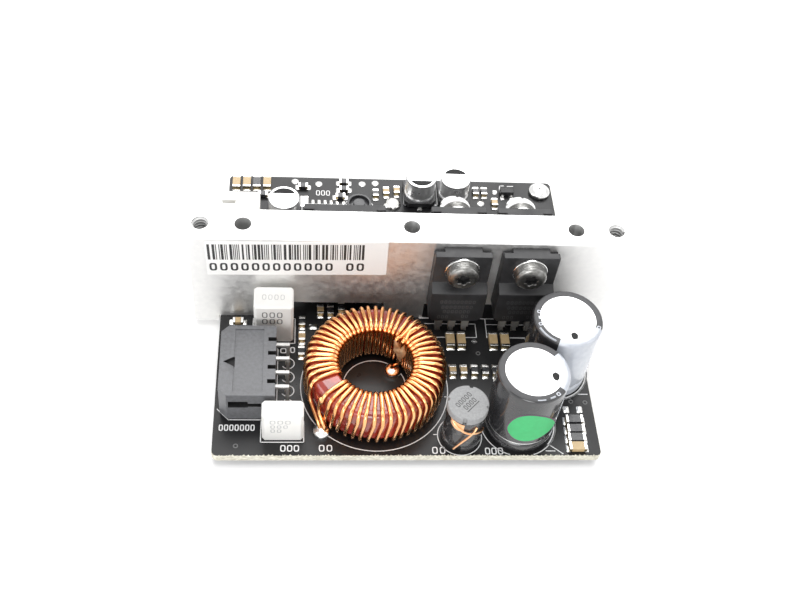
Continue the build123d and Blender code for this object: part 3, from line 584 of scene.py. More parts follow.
def add_zeros(build, corner, across, upward, count, size, line, pitch):
    """A row of plain zeros. corner is the row's lower left end in metres, the rest is in mm."""
    for index in range(count):
        centre = corner + across * (index * pitch + size[0] / 2) * MM + upward * size[1] / 2 * MM
        pairs = []
        for i in range(ZERO_STEPS):
            angle = 2 * math.pi * i / ZERO_STEPS
            x = math.copysign(abs(math.cos(angle)) ** ZERO_SQUARE, math.cos(angle))
            y = math.copysign(abs(math.sin(angle)) ** ZERO_SQUARE, math.sin(angle))
            pairs.append([
                centre + (across * x * (size[0] / 2 - inset) + upward * y * (size[1] / 2 - inset)) * MM
                for inset in (0, line)])
        build.strip(pairs, closed=True)


# Board

PRINT_UP = 0.015
LINE = 0.17


def add_board():
    mesh = clean_copy("circuit_board")
    for polygon in mesh.polygons:
        polygon.material_index = 0 if abs(polygon.normal.z) > 0.5 else 1
    piece = add_piece("board_dressed", mesh, [MASK, FIBRE], "board_black", "circuit_board")
    soften(piece, 0.05, 1)


TOOTH_UP = 0.012
TOOTH_IN = 0.02
TEETH_END = 1.2


def add_board_teeth():
    """Frayed fibre along the top edge of the board's front side."""
    chance = random.Random(3)
    build = Build()
    half = (BOARD_HIGH.x - BOARD_LOW.x) / 2 / MM - TEETH_END
    x = -half
    while x < half:
        width = chance.uniform(0.25, 0.7)
        depth = chance.uniform(0.08, 0.34)
        tip = x + width * chance.uniform(0.2, 0.8)
        tooth = ((x, TOOTH_IN), (x + width, TOOTH_IN), (tip, depth))
        build.flat([spot(px, py, TOOTH_UP) for px, py in tooth])
        x += width * chance.uniform(0.75, 1.6)
    add_piece("board_frayed_edge", build, [FIBRE], "board_black")


def print_line(build, points, width=LINE, closed=False):
    """A printed line on the board through points in mm."""
    pairs = list(zip(points, points[1:]))
    if closed:
        pairs.append((points[-1], points[0]))
    for (x1, y1), (x2, y2) in pairs:
        along = Vector((x2 - x1, y2 - y1)).normalized() * width / 2
        side = Vector((-along.y, along.x))
        ends = Vector((x1, y1)) - along, Vector((x2, y2)) + along
        build.flat([spot(*place, PRINT_UP) for place in (
            ends[0] - side, ends[1] - side, ends[1] + side, ends[0] + side)])


def print_arc(build, x, y, radius, start, end, width=LINE):
    """A printed arc on the board; angles in degrees."""
    steps = max(6, int(abs(end - start) * radius / 20))
    reaches = (radius - width / 2, radius + width / 2)
    build.strip([
        [spot(x + reach * math.cos(angle), y + reach * math.sin(angle), PRINT_UP) for reach in reaches]
        for angle in arc_between(start, end, steps)])


# Printed marks, in mm: the connector, film capacitors, toroid, chokes, cans, packages and the rear half
OPEN_LINES = (
    ((-33.87, 20.5), (-31.8, 22.7), (-23.4, 22.7), (-23.4, 7.27), (-31.8, 7.27), (-33.87, 9.46)),
    ((7.1, 12.28), (8.2, 12.28)),
    ((4.5, 4.32), (5.1, 4.32)),
    ((25.4, 2.05), (27.4, 0.42)),
    ((24.44, 0.98), (26.02, 0.98)),
    ((32.18, 13.0), (33.84, 13.0)),
    ((8.4, 25.78), (4.4, 25.78), (4.4, 29.0), (14.3, 29.0), (14.3, 25.78), (12.2, 25.78)),
    ((20.8, 25.78), (26.2, 25.78), (26.2, 28.9), (16.35, 28.9)),
    ((15.2, 30.3), (18.0, 30.3)),
    ((16.35, 30.3), (16.3, 25.78)),
    ((13.3, 24.88), (14.2, 24.78)),
)
CLOSED_LINES = (
    ((-26.05, 2.72), (-18.53, 2.72), (-18.53, 7.0), (-26.05, 7.0)),
    ((-28.2, 24.0), (-20.3, 24.0), (-20.3, 29.8), (-28.2, 29.8)),
    ((-19.2, 53.4), (-9.7, 53.4), (-9.7, 59.9), (-19.2, 59.9)),
)
WIDE_LINES = (
    (0.3, ((3.6, 30.35), (5.2, 30.35))),
    (0.32, ((5.0, 60.2), (2.2, 60.15), (2.35, 66.1))),
    (0.32, ((6.3, 60.25), (9.3, 60.3), (9.4, 66.2))),
    (0.22, ((23.1, 65.2), (23.25, 66.43), (24.1, 66.45))),
    (0.22, ((24.95, 66.35), (26.1, 66.38))),
)
# Middle, radius, start and end in degrees, and a width of its own for the marked sides of the cans
ARCS = tuple((-21.5, 10.4 + 3 * row, 1.15, -150, 120) for row in range(4)) + (
    (-5.7, 14.4, 13.46, 0, 360),
    (-5.7, 14.4, 5.78, 0, 360),
    (9.13, 4.05, 3.95, 0, 360),
    (11.8, 54.5, 3.5, 0, 360),
    (25.4, 54.5, 3.5, 0, 360),
    (19.95, 6.75, 6.85, -72, 252),
    (19.95, 6.75, 6.75, -42, 10, 0.45),
    (27.7, 18.5, 6.8, 0, 360),
    (27.7, 18.5, 6.7, -80, 0, 0.45),
    (-7.4, 58.7, 3.2, 0, 360),
)
# Rows of zeros: place, count, size of one, and pitch
MARK_LINE = 0.2
MARK_ROWS = (
    (-33.4, 5.0, 7, (0.75, 1.3), 0.92),
    (-22.6, 0.85, 3, (0.95, 1.3), 1.17),
    (-15.9, 0.85, 2, (1.0, 1.35), 1.35),
    (4.0, 0.4, 2, (1.0, 1.4), 1.35),
    (13.4, 0.25, 3, (0.95, 1.4), 1.15),
    (-23.0, 21.7, 1, (1.2, 1.2), 1.3),
    (-21.15, 21.8, 1, (0.9, 1.35), 1.3),
    (-16.3, 62.35, 3, (0.85, 1.5), 1.05),
)
VIAS = ((30.49, 11.41), (33.14, 11.22), (14.24, 22.1), (13.77, 24.88), (-30.31, 1.99))


def add_silkscreen():
    build = Build()
    for points in OPEN_LINES:
        print_line(build, points)
    for points in CLOSED_LINES:
        print_line(build, points, closed=True)
    for width, points in WIDE_LINES:
        print_line(build, points, width)
    for arc in ARCS:
        print_arc(build, *arc)
    for x, y, count, size, pitch in MARK_ROWS:
        add_zeros(build, spot(x, y, PRINT_UP), RIGHT, REAR, count, size, MARK_LINE, pitch)
    add_piece("silkscreen", build, [INK], "label_white")
    vias = Build()
    for x, y in VIAS:
        turned(vias, spot(x, y), [(0.24, 0.004), (0.26, 0.03), (0.42, 0.03), (0.46, 0.004)], 28)
    add_piece("vias", vias, [DARK_TIN_AND_PAINTED_SHADE], "solder", smooth_deg=60)


PAD_BULGE = 0.16
PAD_LEAST = 0.05
PAD_UP = 0.02


def add_solder():
    """Rounded pads of solder, with a raised middle."""
    build = Build()
    steps = 8
    bulge = PAD_BULGE * MM
    for low, high in islands("solder_pads"):
        size = high - low
        if min(size.x, size.y) < PAD_LEAST * MM:
            continue
        centre = (low + high) / 2
        first = len(build.points)
        round_pad = abs(size.x - size.y) < 0.01 * MM
        for i in range(steps + 1):
            for j in range(steps + 1):
                u = 2 * i / steps - 1
                v = 2 * j / steps - 1
                power = 2 if round_pad else 6
                reach = (abs(u) ** power + abs(v) ** power + 1e-12) ** (1 / power)
                squeeze = max(abs(u), abs(v), 1e-9) / reach
                squeeze = squeeze if (u or v) else 1.0
                rise = max(0.0, (1 - u**4) * (1 - v**4)) * min(bulge, min(size.x, size.y) * 0.2)
                build.points.append((
                    centre.x + u * squeeze * size.x / 2,
                    centre.y + v * squeeze * size.y / 2,
                    low.z + PAD_UP * MM + rise,
                ))
        for i in range(steps):
            for j in range(steps):
                a = first + i * (steps + 1) + j
                build.face((a, a + 1, a + steps + 2, a + steps + 1))
    add_piece("solder_pads_domed", build, [SOLDER], "solder", "solder_pads",
              smooth_deg=60)


def cap_profile(radius, height, steps=7):
    """A dome from its rim to its top."""
    return [(radius * math.cos(math.pi / 2 * i / steps), height * math.sin(math.pi / 2 * i / steps) ** 0.8)
            for i in range(steps + 1)]


DOME_GROW = 1.25


def add_domes():
    build = Build()
    for low, high in islands("solder_domes"):
        size = high - low
        base = box_middle(low, high, BOARD_TOP)
        if size.y < 2.0 * MM:
            continue
        radius = size.y / 2 / MM
        height = 1.5 if radius < 1.5 else 1.0
        turned(build, base, cap_profile(radius * (DOME_GROW if radius < 1.5 else 1.0), height), 48)
        if radius > 1.5:
            lobe = base + Vector((-1.3, -0.5, 0)) * MM
            turned(build, lobe, cap_profile(0.8, 0.5), 32)
    add_piece("solder_domes_round", build, [SOLDER], "solder", "solder_domes",
              smooth_deg=60)


def add_joints():
    """Solder cones under the board."""
    build = Build()
    for low, high in islands("solder_joints"):
        size = high - low
        base = box_middle(low, high, high.z)
        radius = size.y / 2 / MM
        profile = [(radius, 0), (radius * 0.8, -0.12), (radius * 0.55, -0.5), (radius * 0.42, -1.05),
                   (radius * 0.3, -1.1)]
        turned(build, base, profile, 24)
    add_piece("solder_cones", build, [SOLDER], "solder", "solder_joints", smooth_deg=60)


# Bar

END_HOLE_PITCH = 75.0
HOLE_R = 1.5
BORE_REACH = HOLE_R * 1.02
BAR_END = 0.3
BORE_LOWEST = 5
THREAD_PITCH = 0.7
THREAD_DEPTH = 0.34
THREAD_TURNS = 14
CREST = 0.09
THREAD_TOP = 0.35
THREAD_FLANK = THREAD_PITCH * 0.42


def add_bar():
    mesh = clean_copy("heatsink_bar")
    centre, size = middle("heatsink_bar")
    for polygon in mesh.polygons:
        place = polygon.center
        in_bore = (abs(place.y - centre.y) < BORE_REACH * MM and abs(polygon.normal.z) < 0.5
                   and abs(abs(place.x) - size.x / 2) > BAR_END * MM
                   and place.z > BOARD_TOP + BORE_LOWEST * MM)
        # Wall faces inside the bar's holes, above the lowest few mm, get the painted shade.
        polygon.material_index = 1 if in_bore else 0
    piece = add_piece("heatsink_bar_dressed", mesh, [ALUMINIUM, BORE_PAINTED_SHADE], "bar_aluminium", "heatsink_bar")
    soften(piece, 0.12)


def add_threads():
    """A thread ridge in each end hole of the bar's top, in the bore's painted shade, with one face of each
    turn painted darker still as a shade line.
    """
    build = Build()
    centre, size = middle("heatsink_bar")
    top = centre.z + size.z / 2
    steps = 36
    for side in (-1, 1):
        axis = Vector((side * END_HOLE_PITCH / 2 * MM, centre.y, 0))
        rings = []
        for i in range(THREAD_TURNS * steps):
            angle = 2 * math.pi * i / steps
            z = top / MM - THREAD_TOP - THREAD_PITCH * i / steps
            rings.append([axis + polar(r, angle, z + rise) * MM for r, rise in (
                (HOLE_R, THREAD_FLANK), (HOLE_R - THREAD_DEPTH, CREST),
                (HOLE_R - THREAD_DEPTH, -CREST), (HOLE_R, -THREAD_FLANK))])
        first = len(build.faces)
        build.rings(rings, closed_start=True, closed_end=True)
        # Painted shade: one face of each turn gets the dark finish, so the turns show as dark lines.
        for index in range(first, len(build.faces)):
            if index % 4 == 1:
                build.inks[index] = 1
    add_piece("bar_threads", build, [BORE_PAINTED_SHADE, DARK_TIN_AND_PAINTED_SHADE], "bar_aluminium")


# Label

LABEL_TILT = math.radians(1.2)
LABEL_SIZE = (32.3, 8.9)
BAR_SPAN = (0.012, 0.87)
BAR_HEIGHTS = (0.47, 0.93)
ZERO_SIZE = (1.35, 2.1)
ZERO_LINE = 0.38
ZERO_PITCH = 1.88
ZERO_START = (0.5, 1.15)
LABEL_PRINT_UP = 0.012


def add_label():
    dress("label", PAPER, 0.02)
    centre, size = middle("label")
    front = centre.y - size.y / 2 - LABEL_PRINT_UP * MM
    across = Vector((math.cos(LABEL_TILT), 0, math.sin(LABEL_TILT)))
    upward = Vector((-math.sin(LABEL_TILT), 0, math.cos(LABEL_TILT)))
    corner = Vector((centre.x, front, centre.z)) - (across * LABEL_SIZE[0] + upward * LABEL_SIZE[1]) * MM / 2
    build = Build()

    def block(x1, x2, z1, z2):
        ends = ((x1, z1), (x2, z1), (x2, z2), (x1, z2))
        build.flat([corner + (across * x + upward * z) * MM for x, z in ends])

    chance = random.Random(11)
    x = LABEL_SIZE[0] * BAR_SPAN[0]
    end = LABEL_SIZE[0] * BAR_SPAN[1]
    while x < end:
        width = chance.choice((0.16, 0.16, 0.32, 0.45))
        block(x, min(x + width, end), LABEL_SIZE[1] * BAR_HEIGHTS[0], LABEL_SIZE[1] * BAR_HEIGHTS[1])
        x += width + chance.choice((0.16, 0.16, 0.2, 0.42))
    for start, count in ((0, 12), (13, 2)):
        row = corner + (across * (ZERO_START[0] + start * ZERO_PITCH) + upward * ZERO_START[1]) * MM
        add_zeros(build, row, across, upward, count, ZERO_SIZE, ZERO_LINE, ZERO_PITCH)
    add_piece("label_marks", build, [PRINT], "label_white")


# Toroid

CORE_ID = 14.2
CORE_ROUND = 0.9
CORE_OUTER_ROUND = 1.7
TURN_ROUND = (1.6, 2.3)
WIRE_D = 0.75
WIRE_FIT = 0.02
WIRE_END = 0.15
TURNS = 52
TURN_STEP = 6.7
GAP_MIDDLE = 211.0
START_AZIMUTH = 43.0
TAIL_STEP = 0.42
PAIR = {-1: ((-1.15, 18.0, 8.6), (-0.95, 17.9, 3.4)), 1: ((-2.25, 18.55, 8.6), (-1.4, 18.1, 3.4))}
LUMPS = (
    (((-2.3, 18.6, 8.9), (-2.0, 18.4, 7.2), (-1.5, 18.15, 5.4), (-1.1, 17.95, 3.3)),
     (0.3, 0.62, 0.66, 0.5, 0.2)),
    (((-1.1, 18.0, 8.4), (-0.95, 17.95, 7.0), (-0.95, 17.9, 5.2), (-1.0, 17.9, 3.2)),
     (0.26, 0.5, 0.66, 0.5, 0.2)),
)


def ring_frame():
    centre, size = middle("toroid_core")
    return Vector((centre.x, centre.y, centre.z - size.z / 2)), size.x / 2 / MM, size.z / MM


def add_core():
    base, outer, height = ring_frame()
    inner = CORE_ID / 2
    corners = [(inner, 0), (outer, 0), (outer, height), (inner, height)]
    bends = (CORE_ROUND, CORE_OUTER_ROUND, CORE_OUTER_ROUND, CORE_ROUND)
    profile = []
    for i in range(4):
        profile += rounded(corners[i - 1], corners[i], corners[(i + 1) % 4], bends[i], 6)
    build = Build()
    rings = [circle(base, r * MM, z * MM, 120) for r, z in profile]
    build.rings(rings, loop=True)
    add_piece("toroid_core_round", build, [VARNISHED], "core_red", "toroid_core",
              smooth_deg=60)


def turn_section(outer, height, bulge):
    """The stations of one turn: (radius, height, share of the step), from the bore over the top."""
    gap = WIRE_FIT + WIRE_D / 2
    low = -gap
    high = height + gap
    near = CORE_ID / 2 - gap
    far = outer + gap + bulge
    corners = [(near, low), (near, high), (far, high), (far, low)]
    shares = {1: 0.0, 2: 0.06, 3: 0.52, 0: 1.0}
    stations = [(near, height / 2, 0.0)]
    for index in (1, 2, 3, 0):
        before = corners[index - 1]
        after = corners[(index + 1) % 4]
        previous = stations[-1][2]
        bend = TURN_ROUND[1 if corners[index][0] > near else 0]
        arc = rounded(before, corners[index], after, bend, 6)
        start_share = previous if index == 1 else previous + (shares[index] - previous) * 0.9
        span = shares[index] - start_share
        for step, (r, z) in enumerate(arc):
            stations.append((r, z, start_share + span * step / 6))
    return stations


def add_winding():
    """Two half windings that start at the inner pad and go opposite ways round to the outer one."""
    base, outer, height = ring_frame()
    chance = random.Random(5)
    first = GAP_MIDDLE + (360 - (TURNS - 1) * TURN_STEP) / 2 - 360
    azimuths = [first + i * TURN_STEP + chance.uniform(-0.55, 0.55) for i in range(TURNS)]
    split = sum(1 for a in azimuths if a < START_AZIMUTH)
    halves = [list(reversed(azimuths[:split])), azimuths[split:]]
    domes = sorted(islands("solder_domes"), key=lambda pair: pair[0].y)
    outer_pad = (domes[0][0] + domes[0][1]) / 2
    inner_pad = (domes[1][0] + domes[1][1]) / 2

    def at(r, azimuth, z):
        return base + polar(r, math.radians(azimuth), z) * MM

    strands = []
    for way, half in zip((-1, 1), halves):
        path = []
        for number, azimuth in enumerate(half):
            step = half[number + 1] - azimuth if number + 1 < len(half) else way * TURN_STEP
            for r, z, share in turn_section(outer, height, chance.uniform(0.0, 0.10)):
                past_top = share > 0.08
                if number + 1 == len(half) and past_top:
                    break
                wander = 0.25 * math.sin(number * 2.3 + r)
                path.append(at(r, azimuth + step * share + wander * (share > 0), z))
        side = outer_pad.copy()
        side.x += way * -TAIL_STEP * MM
        side.y += way * TAIL_STEP * 0.6 * MM
        end_azimuth = half[-1]
        over = at(outer + 0.45, end_azimuth + way * 2, height - 0.8)
        down = at(outer + 0.75, end_azimuth + way * (3 if way > 0 else 2), height * 0.45)
        path += eased([path[-1], over, down, Vector((side.x, side.y, BOARD_TOP + 1.6 * MM)),
                       Vector((side.x, side.y, WIRE_END * MM))], 6)[1:]
        start = half[0]
        near = CORE_ID / 2 - WIRE_FIT - WIRE_D / 2
        upper, lower = PAIR[way]
        strands.append(eased([
            Vector((inner_pad.x + way * 0.2 * MM, inner_pad.y, WIRE_END * MM)),
            Vector((inner_pad.x + way * 0.2 * MM, inner_pad.y, BOARD_TOP + 1.3 * MM)),
            spot(*lower),
            spot(*upper),
            at(near + 0.25, START_AZIMUTH + way * 4.2, height + 0.1),
            at(near + 1.6, start - way * 1.0, height + WIRE_D * 0.75),
            at(near + 3.2, start, height + WIRE_D / 2 + 0.3),
        ], 7))
        strands.append(path)
    add_wire("toroid_wire", strands, WIRE_D / 2, COPPER, "copper_wire", "toroid_winding", "toroid_wire_ends")
    blob = Build()
    for places, radii in LUMPS:
        add_lump(blob, [spot(*place) for place in places], radii, chance)
    add_piece("toroid_varnish", blob, [AMBER], "core_red", smooth_deg=80)


# Sleeved capacitors

SLEEVE_T = 0.15
LIP = 1.3
LIP_FLAT = 0.12
SHOULDER = 0.9
GROOVE_Z = 2.6
GROOVE = 0.45
STRIPES = {"front_can": (-38, 40), "rear_can": (-113, -25)}
VENT_DOT = ((0.74, 20), (0.72, 55), (0.8, 90), (0.74, 140), (0.62, 190), (0.74, 235), (0.9, 275), (0.72, 320))
VENT_DOTS = {"front_can": (3.59, -0.9), "rear_can": (0.55, -3.8)}
LIP_ZEROS = {"front_can": ((-53, 5.75), (24, 5.6)), "rear_can": ((165.5, 5.25), (-165, 5.35), (-22, 5.55))}
LIP_DASHES = {
    "front_can": ((-60, -70, 5.8, 0.28), (-78, -92, 5.85, 0.2), (30, 38, 5.6, 0.3)),
    "rear_can": ((176, 183, 5.15, 0.4), (-158, -120, 5.8, 0.3), (-30, -38, 5.5, 0.5), (-44, -50, 5.5, 0.45)),
}
STICKER_LINE = (
    (-125, 6.9), (-115, 10.8), (-94, 12.4), (-66, 10.9), (-38, 6.1), (-62, 4.8), (-90, 4.1), (-113, 4.7)
)


def add_can(node):
    """A bright can, its dark sleeve with a pale stripe, and the marks on its top."""
    centre, size = middle(node + "_sleeve")
    radius = size.y / 2 / MM
    base = Vector((centre.x, centre.y, BOARD_TOP))
    height = (centre.z + size.z / 2 - BOARD_TOP) / MM
    can_r = radius - SLEEVE_T
    build = Build()
    top = height - SLEEVE_T
    turned(build, base, smooth_profile([
        (0, 0), (can_r - 0.4, 0), (can_r - 0.4, 0.55), (can_r - 0.1, 0.7),
        (can_r - SHOULDER * 0.2, top - SHOULDER), (can_r - SHOULDER, top),
        (radius - LIP - 0.1, top + 0.02), (radius - LIP - 0.35, top - 0.06), (0, top - 0.08),
    ], 0.3), 96)
    add_piece(node + "_turned", build, [CAN], "can_aluminium", node)

    start, end = STRIPES[node]
    outline = smooth_profile([
        (can_r, 0.5), (radius - 0.02, 0.52), (radius, GROOVE_Z - GROOVE), (radius - GROOVE, GROOVE_Z),
        (radius, GROOVE_Z + GROOVE), (radius, height), (radius - LIP, height),
        (radius - LIP - 0.02, top - 0.02),
    ], SHOULDER * 0.75)
    build = Build()
    turned(build, base, outline, 120)
    for index, corners in enumerate(build.faces):
        where = Vector(build.points[corners[0]]) + Vector(build.points[corners[1]]) - base * 2
        angle = math.degrees(math.atan2(where.y, where.x))
        if start <= angle <= end:
            build.inks[index] = 1
        elif min(build.points[corner][2] for corner in corners) > base.z + (height - LIP_FLAT) * MM:
            build.inks[index] = 2
    add_piece(node + "_sleeve_turned", build, [SLEEVE, STRIPE, SLEEVE_LIP],
              "sleeve_dark", node + "_sleeve", smooth_deg=50)

    build = Build()
    dx, dy = VENT_DOTS[node]
    build.flat([base + Vector((dx + reach * math.cos(math.radians(angle)),
                               dy + reach * math.sin(math.radians(angle)) * 1.1, top - 0.06)) * MM
                for reach, angle in VENT_DOT])
    add_piece(node + "_vent_mark", build, [BLACK_SHADE_AND_PRINT], "sleeve_dark")

    build = Build()
    for azimuth, reach in LIP_ZEROS[node]:
        out = polar(1, math.radians(azimuth))
        along = Vector((-out.y, out.x, 0))
        corner = base + (out * (reach - 0.35) - along * 0.35 + Vector((0, 0, height + 0.01))) * MM
        add_zeros(build, corner, along, out, 1, (0.7, 0.7), 0.16, 1.0)
    for first_deg, last_deg, reach, width in LIP_DASHES[node]:
        edges = [(r, height + 0.012 - 0.45 * max(0.0, r - (radius - 0.55)) ** 1.4)
                 for r in (reach - width / 2, reach + width / 2)]
        build.strip([[base + polar(r, turn, z) * MM for r, z in edges]
                     for turn in arc_between(first_deg, last_deg, 8)])
    add_piece(node + "_lip_marks", build, [STRIPE], "sleeve_dark")


def patch_on_can(node, name, mat, outline, up, grow=1.0):
    """A thin patch that follows a can's side inside a smooth outline of (azimuth, height)."""
    centre, size = middle(node + "_sleeve")
    radius = size.y / 2 / MM + up
    base = Vector((centre.x, centre.y, BOARD_TOP))
    middle_turn = sum(a for a, _ in outline) / len(outline)
    middle_z = sum(z for _, z in outline) / len(outline)
    rim = eased(outline, 8, closed=True)
    layers = 16
    rings = []
    for i in range(layers + 1):
        share = max(0.01, i / layers) * grow
        ring = []
        for azimuth, z in rim:
            turn = math.radians(middle_turn + (azimuth - middle_turn) * share)
            ring.append(base + polar(radius, turn, middle_z + (z - middle_z) * share) * MM)
        rings.append(ring)
    build = Build()
    build.rings(rings, closed_start=True)
    add_piece(name, build, [mat], "sleeve_dark", smooth_deg=60)


# Chokes

FLANGE_T = 1.5
NOTCH_TURN = -103.5


def add_choke(node, top):
    """A drum with a notched top flange, and a shrunk sleeve around its middle."""
    centre, size = middle(node + "_core")
    radius = size.x / 2 / MM
    base = Vector((centre.x, centre.y, BOARD_TOP))
    height = size.z / MM
    build = Build()
    steps = 144

    def notched(angle):
        turn = (math.degrees(angle) - NOTCH_TURN) % 90
        near = min(turn, 90 - turn)
        return 0.9 if near < 5.5 else 1.0

    rim = 0.12
    for low, high, ink in ((0.0, FLANGE_T, 1), (height - FLANGE_T, height, 0)):
        rings = [circle(base, r * MM, z * MM, steps, wave) for r, z, wave in (
            (0.02, low, None), (radius - rim, low, notched), (radius, low + rim, notched),
            (radius, high - rim, notched), (radius - rim, high, notched), (0.02, high, None))]
        build.rings(rings, [ink] * len(rings))
    add_piece(node + "_drum", build, [top, WRAP], "ferrite_grey", node + "_core")

    body = radius * 0.955
    build = Build()
    outline = smooth_profile([
        (radius * 0.5, FLANGE_T - 0.05), (body + 0.08, FLANGE_T), (body + 0.04, height * 0.3),
        (body - 0.12, height * 0.48), (body, height * 0.62), (body + 0.05, height - FLANGE_T),
        (radius * 0.5, height - FLANGE_T + 0.05),
    ], 0.3)
    turned(build, base, outline, 96)
    add_piece(node + "_wrap", build, [WRAP], "wrap_dark", node + "_winding", smooth_deg=60)


def around(node, azimuth, z, out=0.0):
    """A point on a choke's side."""
    centre, size = middle(node + "_core")
    side = polar(size.x / 2 + out * MM, math.radians(azimuth), z * MM)
    return Vector((centre.x, centre.y, BOARD_TOP)) + side


def add_choke_wires():
    """Copper ends of the front choke, drawn down its side to the board."""
    node = "front_choke"
    tape = [around(node, a, z, o) for a, z, o in (
        (-146, 8.85, -0.2), (-132, 8.3, 0.05), (-112, 7.4, 0.12), (-92, 6.6, 0.14), (-70, 6.1, 0.12),
        (-45, 5.4, 0.08), (-25, 4.7, -0.05))]
    tail = [around(node, a, z, o) for a, z, o in (
        (-64, 7.6, -0.05), (-72, 6.9, 0.2), (-84, 5.7, 0.3), (-96, 4.3, 0.32), (-106, 3.0, 0.4),
        (-113, 1.9, 0.45), (-116, 1.3, 0.45))]
    add_wire("front_choke_wires", [eased(tape), eased(tail)], 0.2, RAW_COPPER, "copper_wire")
    build = Build()
    rows = 10
    pairs = []
    for i in range(rows + 1):
        azimuth = -144 + 42 * i / rows
        low_z = 8.1 - 1.3 * math.sin(math.pi * (i / rows) ** 0.8 * 0.6)
        pairs.append((around(node, azimuth, 9.0 - 0.25 * i / rows, 0.02), around(node, azimuth, low_z, 0.1)))
    build.strip(pairs)
    add_piece("front_choke_tape", build, [RAW_COPPER], "copper_wire", smooth_deg=60)
    rows = Build()
    across = Vector((0.70, 0.71, 0)).normalized()
    upward = Vector((-across.y, across.x, 0))
    centre, size = middle(node + "_core")
    top = Vector((centre.x, centre.y, centre.z + size.z / 2 + 0.012 * MM))
    add_zeros(rows, top + (across * -1.9 + upward * 0.55) * MM, across, upward, 5, (0.58, 0.95), 0.13, 0.76)
    add_zeros(rows, top + (across * -1.35 + upward * -0.75) * MM, across, upward, 4, (0.55, 0.95), 0.13, 0.74)
    underline = ((-1.5, -1.15), (1.6, -1.15), (1.6, -0.98), (-1.5, -0.98))
    rows.flat([top + (across * x + upward * y) * MM for x, y in underline])
    add_piece("front_choke_print", rows, [PRINT], "ferrite_grey")


# Chip capacitors in cans

CHIP_SEGMENT_SIDES = (1, -1, 1)
CHIP_SEGMENT_START = 0.45


def add_chip_cans():
    """Turned cans on their bases, each with a dark segment printed on its top and a dark ring of painted
    shade round its top rim.
    """
    build = Build()
    segments = Build()
    edges = Build()
    boxes = sorted(islands("chip_capacitor_cans"), key=lambda pair: -pair[0].x)
    for (low, high), side in zip(boxes, CHIP_SEGMENT_SIDES):
        radius = (high.y - low.y) / 2 / MM
        base = box_middle(low, high, low.z)
        height = (high.z - low.z) / MM
        turned(build, base, smooth_profile([
            (radius, 0), (radius, 0.35), (radius - 0.3, 0.8), (radius, 1.25), (radius, height),
            (radius - 0.55, height), (radius - 0.7, height - 0.05), (0, height - 0.06),
        ], 0.3), 96)
        # Painted shade: a thin dark ring over the rounded rim of each top.
        turned(edges, base, [(radius - 0.16, height + 0.004), (radius + 0.004, height - 0.16),
                             (radius + 0.004, height - 0.34)], 96)
        reach = radius - 0.62
        half = math.acos(CHIP_SEGMENT_START)
        angles = [side * math.pi / 2 - half + 2 * half * i / 24 for i in range(25)]
        segments.flat([base + polar(reach, angle, height + 0.02) * MM for angle in angles])
    add_piece("chip_cans_turned", build, [CAN], "can_aluminium",
              "chip_capacitor_cans", smooth_deg=50)
    add_piece("chip_can_rim_shade", edges, [DARK_TIN_AND_PAINTED_SHADE], "can_aluminium", smooth_deg=60)
    add_piece("chip_can_segments", segments, [BLACK_SHADE_AND_PRINT], "sleeve_dark")


# Screws

SOCKET_R = 1.22
HEAD_R = 2.85
HEAD_H = 2.0


def lobes(angle):
    """The outline of a six-lobed socket."""
    return 1.0 + 0.14 * math.cos(6 * angle)


def screw_rings(turn):
    """Rings of a head with a grooved wall, a domed edge and a lobed socket, up its own axis, in mm."""
    steps = 96
    wall = [(0.9, 0.0), (HEAD_R - 0.1, 0.0), (HEAD_R, 0.1)]
    for groove in (0.35, 0.7, 1.05):
        wall += [(HEAD_R, groove - 0.08), (HEAD_R - 0.09, groove), (HEAD_R, groove + 0.08)]
    wall += [(HEAD_R, 1.3), (HEAD_R * 0.975, 1.52), (HEAD_R * 0.92, 1.7), (HEAD_R * 0.82, 1.85),
             (HEAD_R * 0.68, 1.95), (HEAD_R * 0.55, HEAD_H)]
    rings = [circle(ORIGIN, r, z, steps) for r, z in wall]

    def star(angle):
        return lobes(angle + turn)

    for r, z in ((SOCKET_R, HEAD_H), (SOCKET_R * 0.95, HEAD_H - 0.12), (SOCKET_R * 0.9, HEAD_H - 1.0)):
        rings.append(circle(ORIGIN, r, z, steps, star))
    rings.append(circle(ORIGIN, 0.02, HEAD_H - 1.15, steps))
    return rings


def add_package_screws():
    heads = Build()
    rims = Build()
    turns = (0.3, 0.75, 0.1, 0.6, 0.9)
    washers = islands("transistor_washers")
    for (low, high), turn in zip(sorted(washers, key=lambda pair: (pair[0].y, pair[0].x)), turns):
        centre = (low + high) / 2
        bar_y = middle("heatsink_bar")[0].y
        side = -1 if centre.y < bar_y else 1
        outer = low.y if side < 0 else high.y
        seat = Vector((centre.x, outer, centre.z))

        def placed(ring):
            return [seat + Vector((p.x, side * p.z, p.y)) * MM for p in ring]

        rings = screw_rings(turn)
        # The socket's walls get the black painted shade.
        inks = [0] * (len(rings) - 3) + [1] * 2
        heads.rings([placed(ring) for ring in rings], inks)
        rim = [(1.6, -0.5), (3.05, -0.5), (3.15, -0.42), (3.15, -0.1), (3.05, 0.0), (1.6, 0.0)]
        rims.rings([placed(circle(ORIGIN, r, z, 72)) for r, z in rim])
    add_piece("package_screw_heads", heads, [STEEL, BLACK_SHADE_AND_PRINT], "plated_screw",
              "transistor_screws", smooth_deg=40)
    add_piece("package_washers", rims, [BRIGHT_STEEL], "plated_screw",
              "transistor_washers", smooth_deg=40)


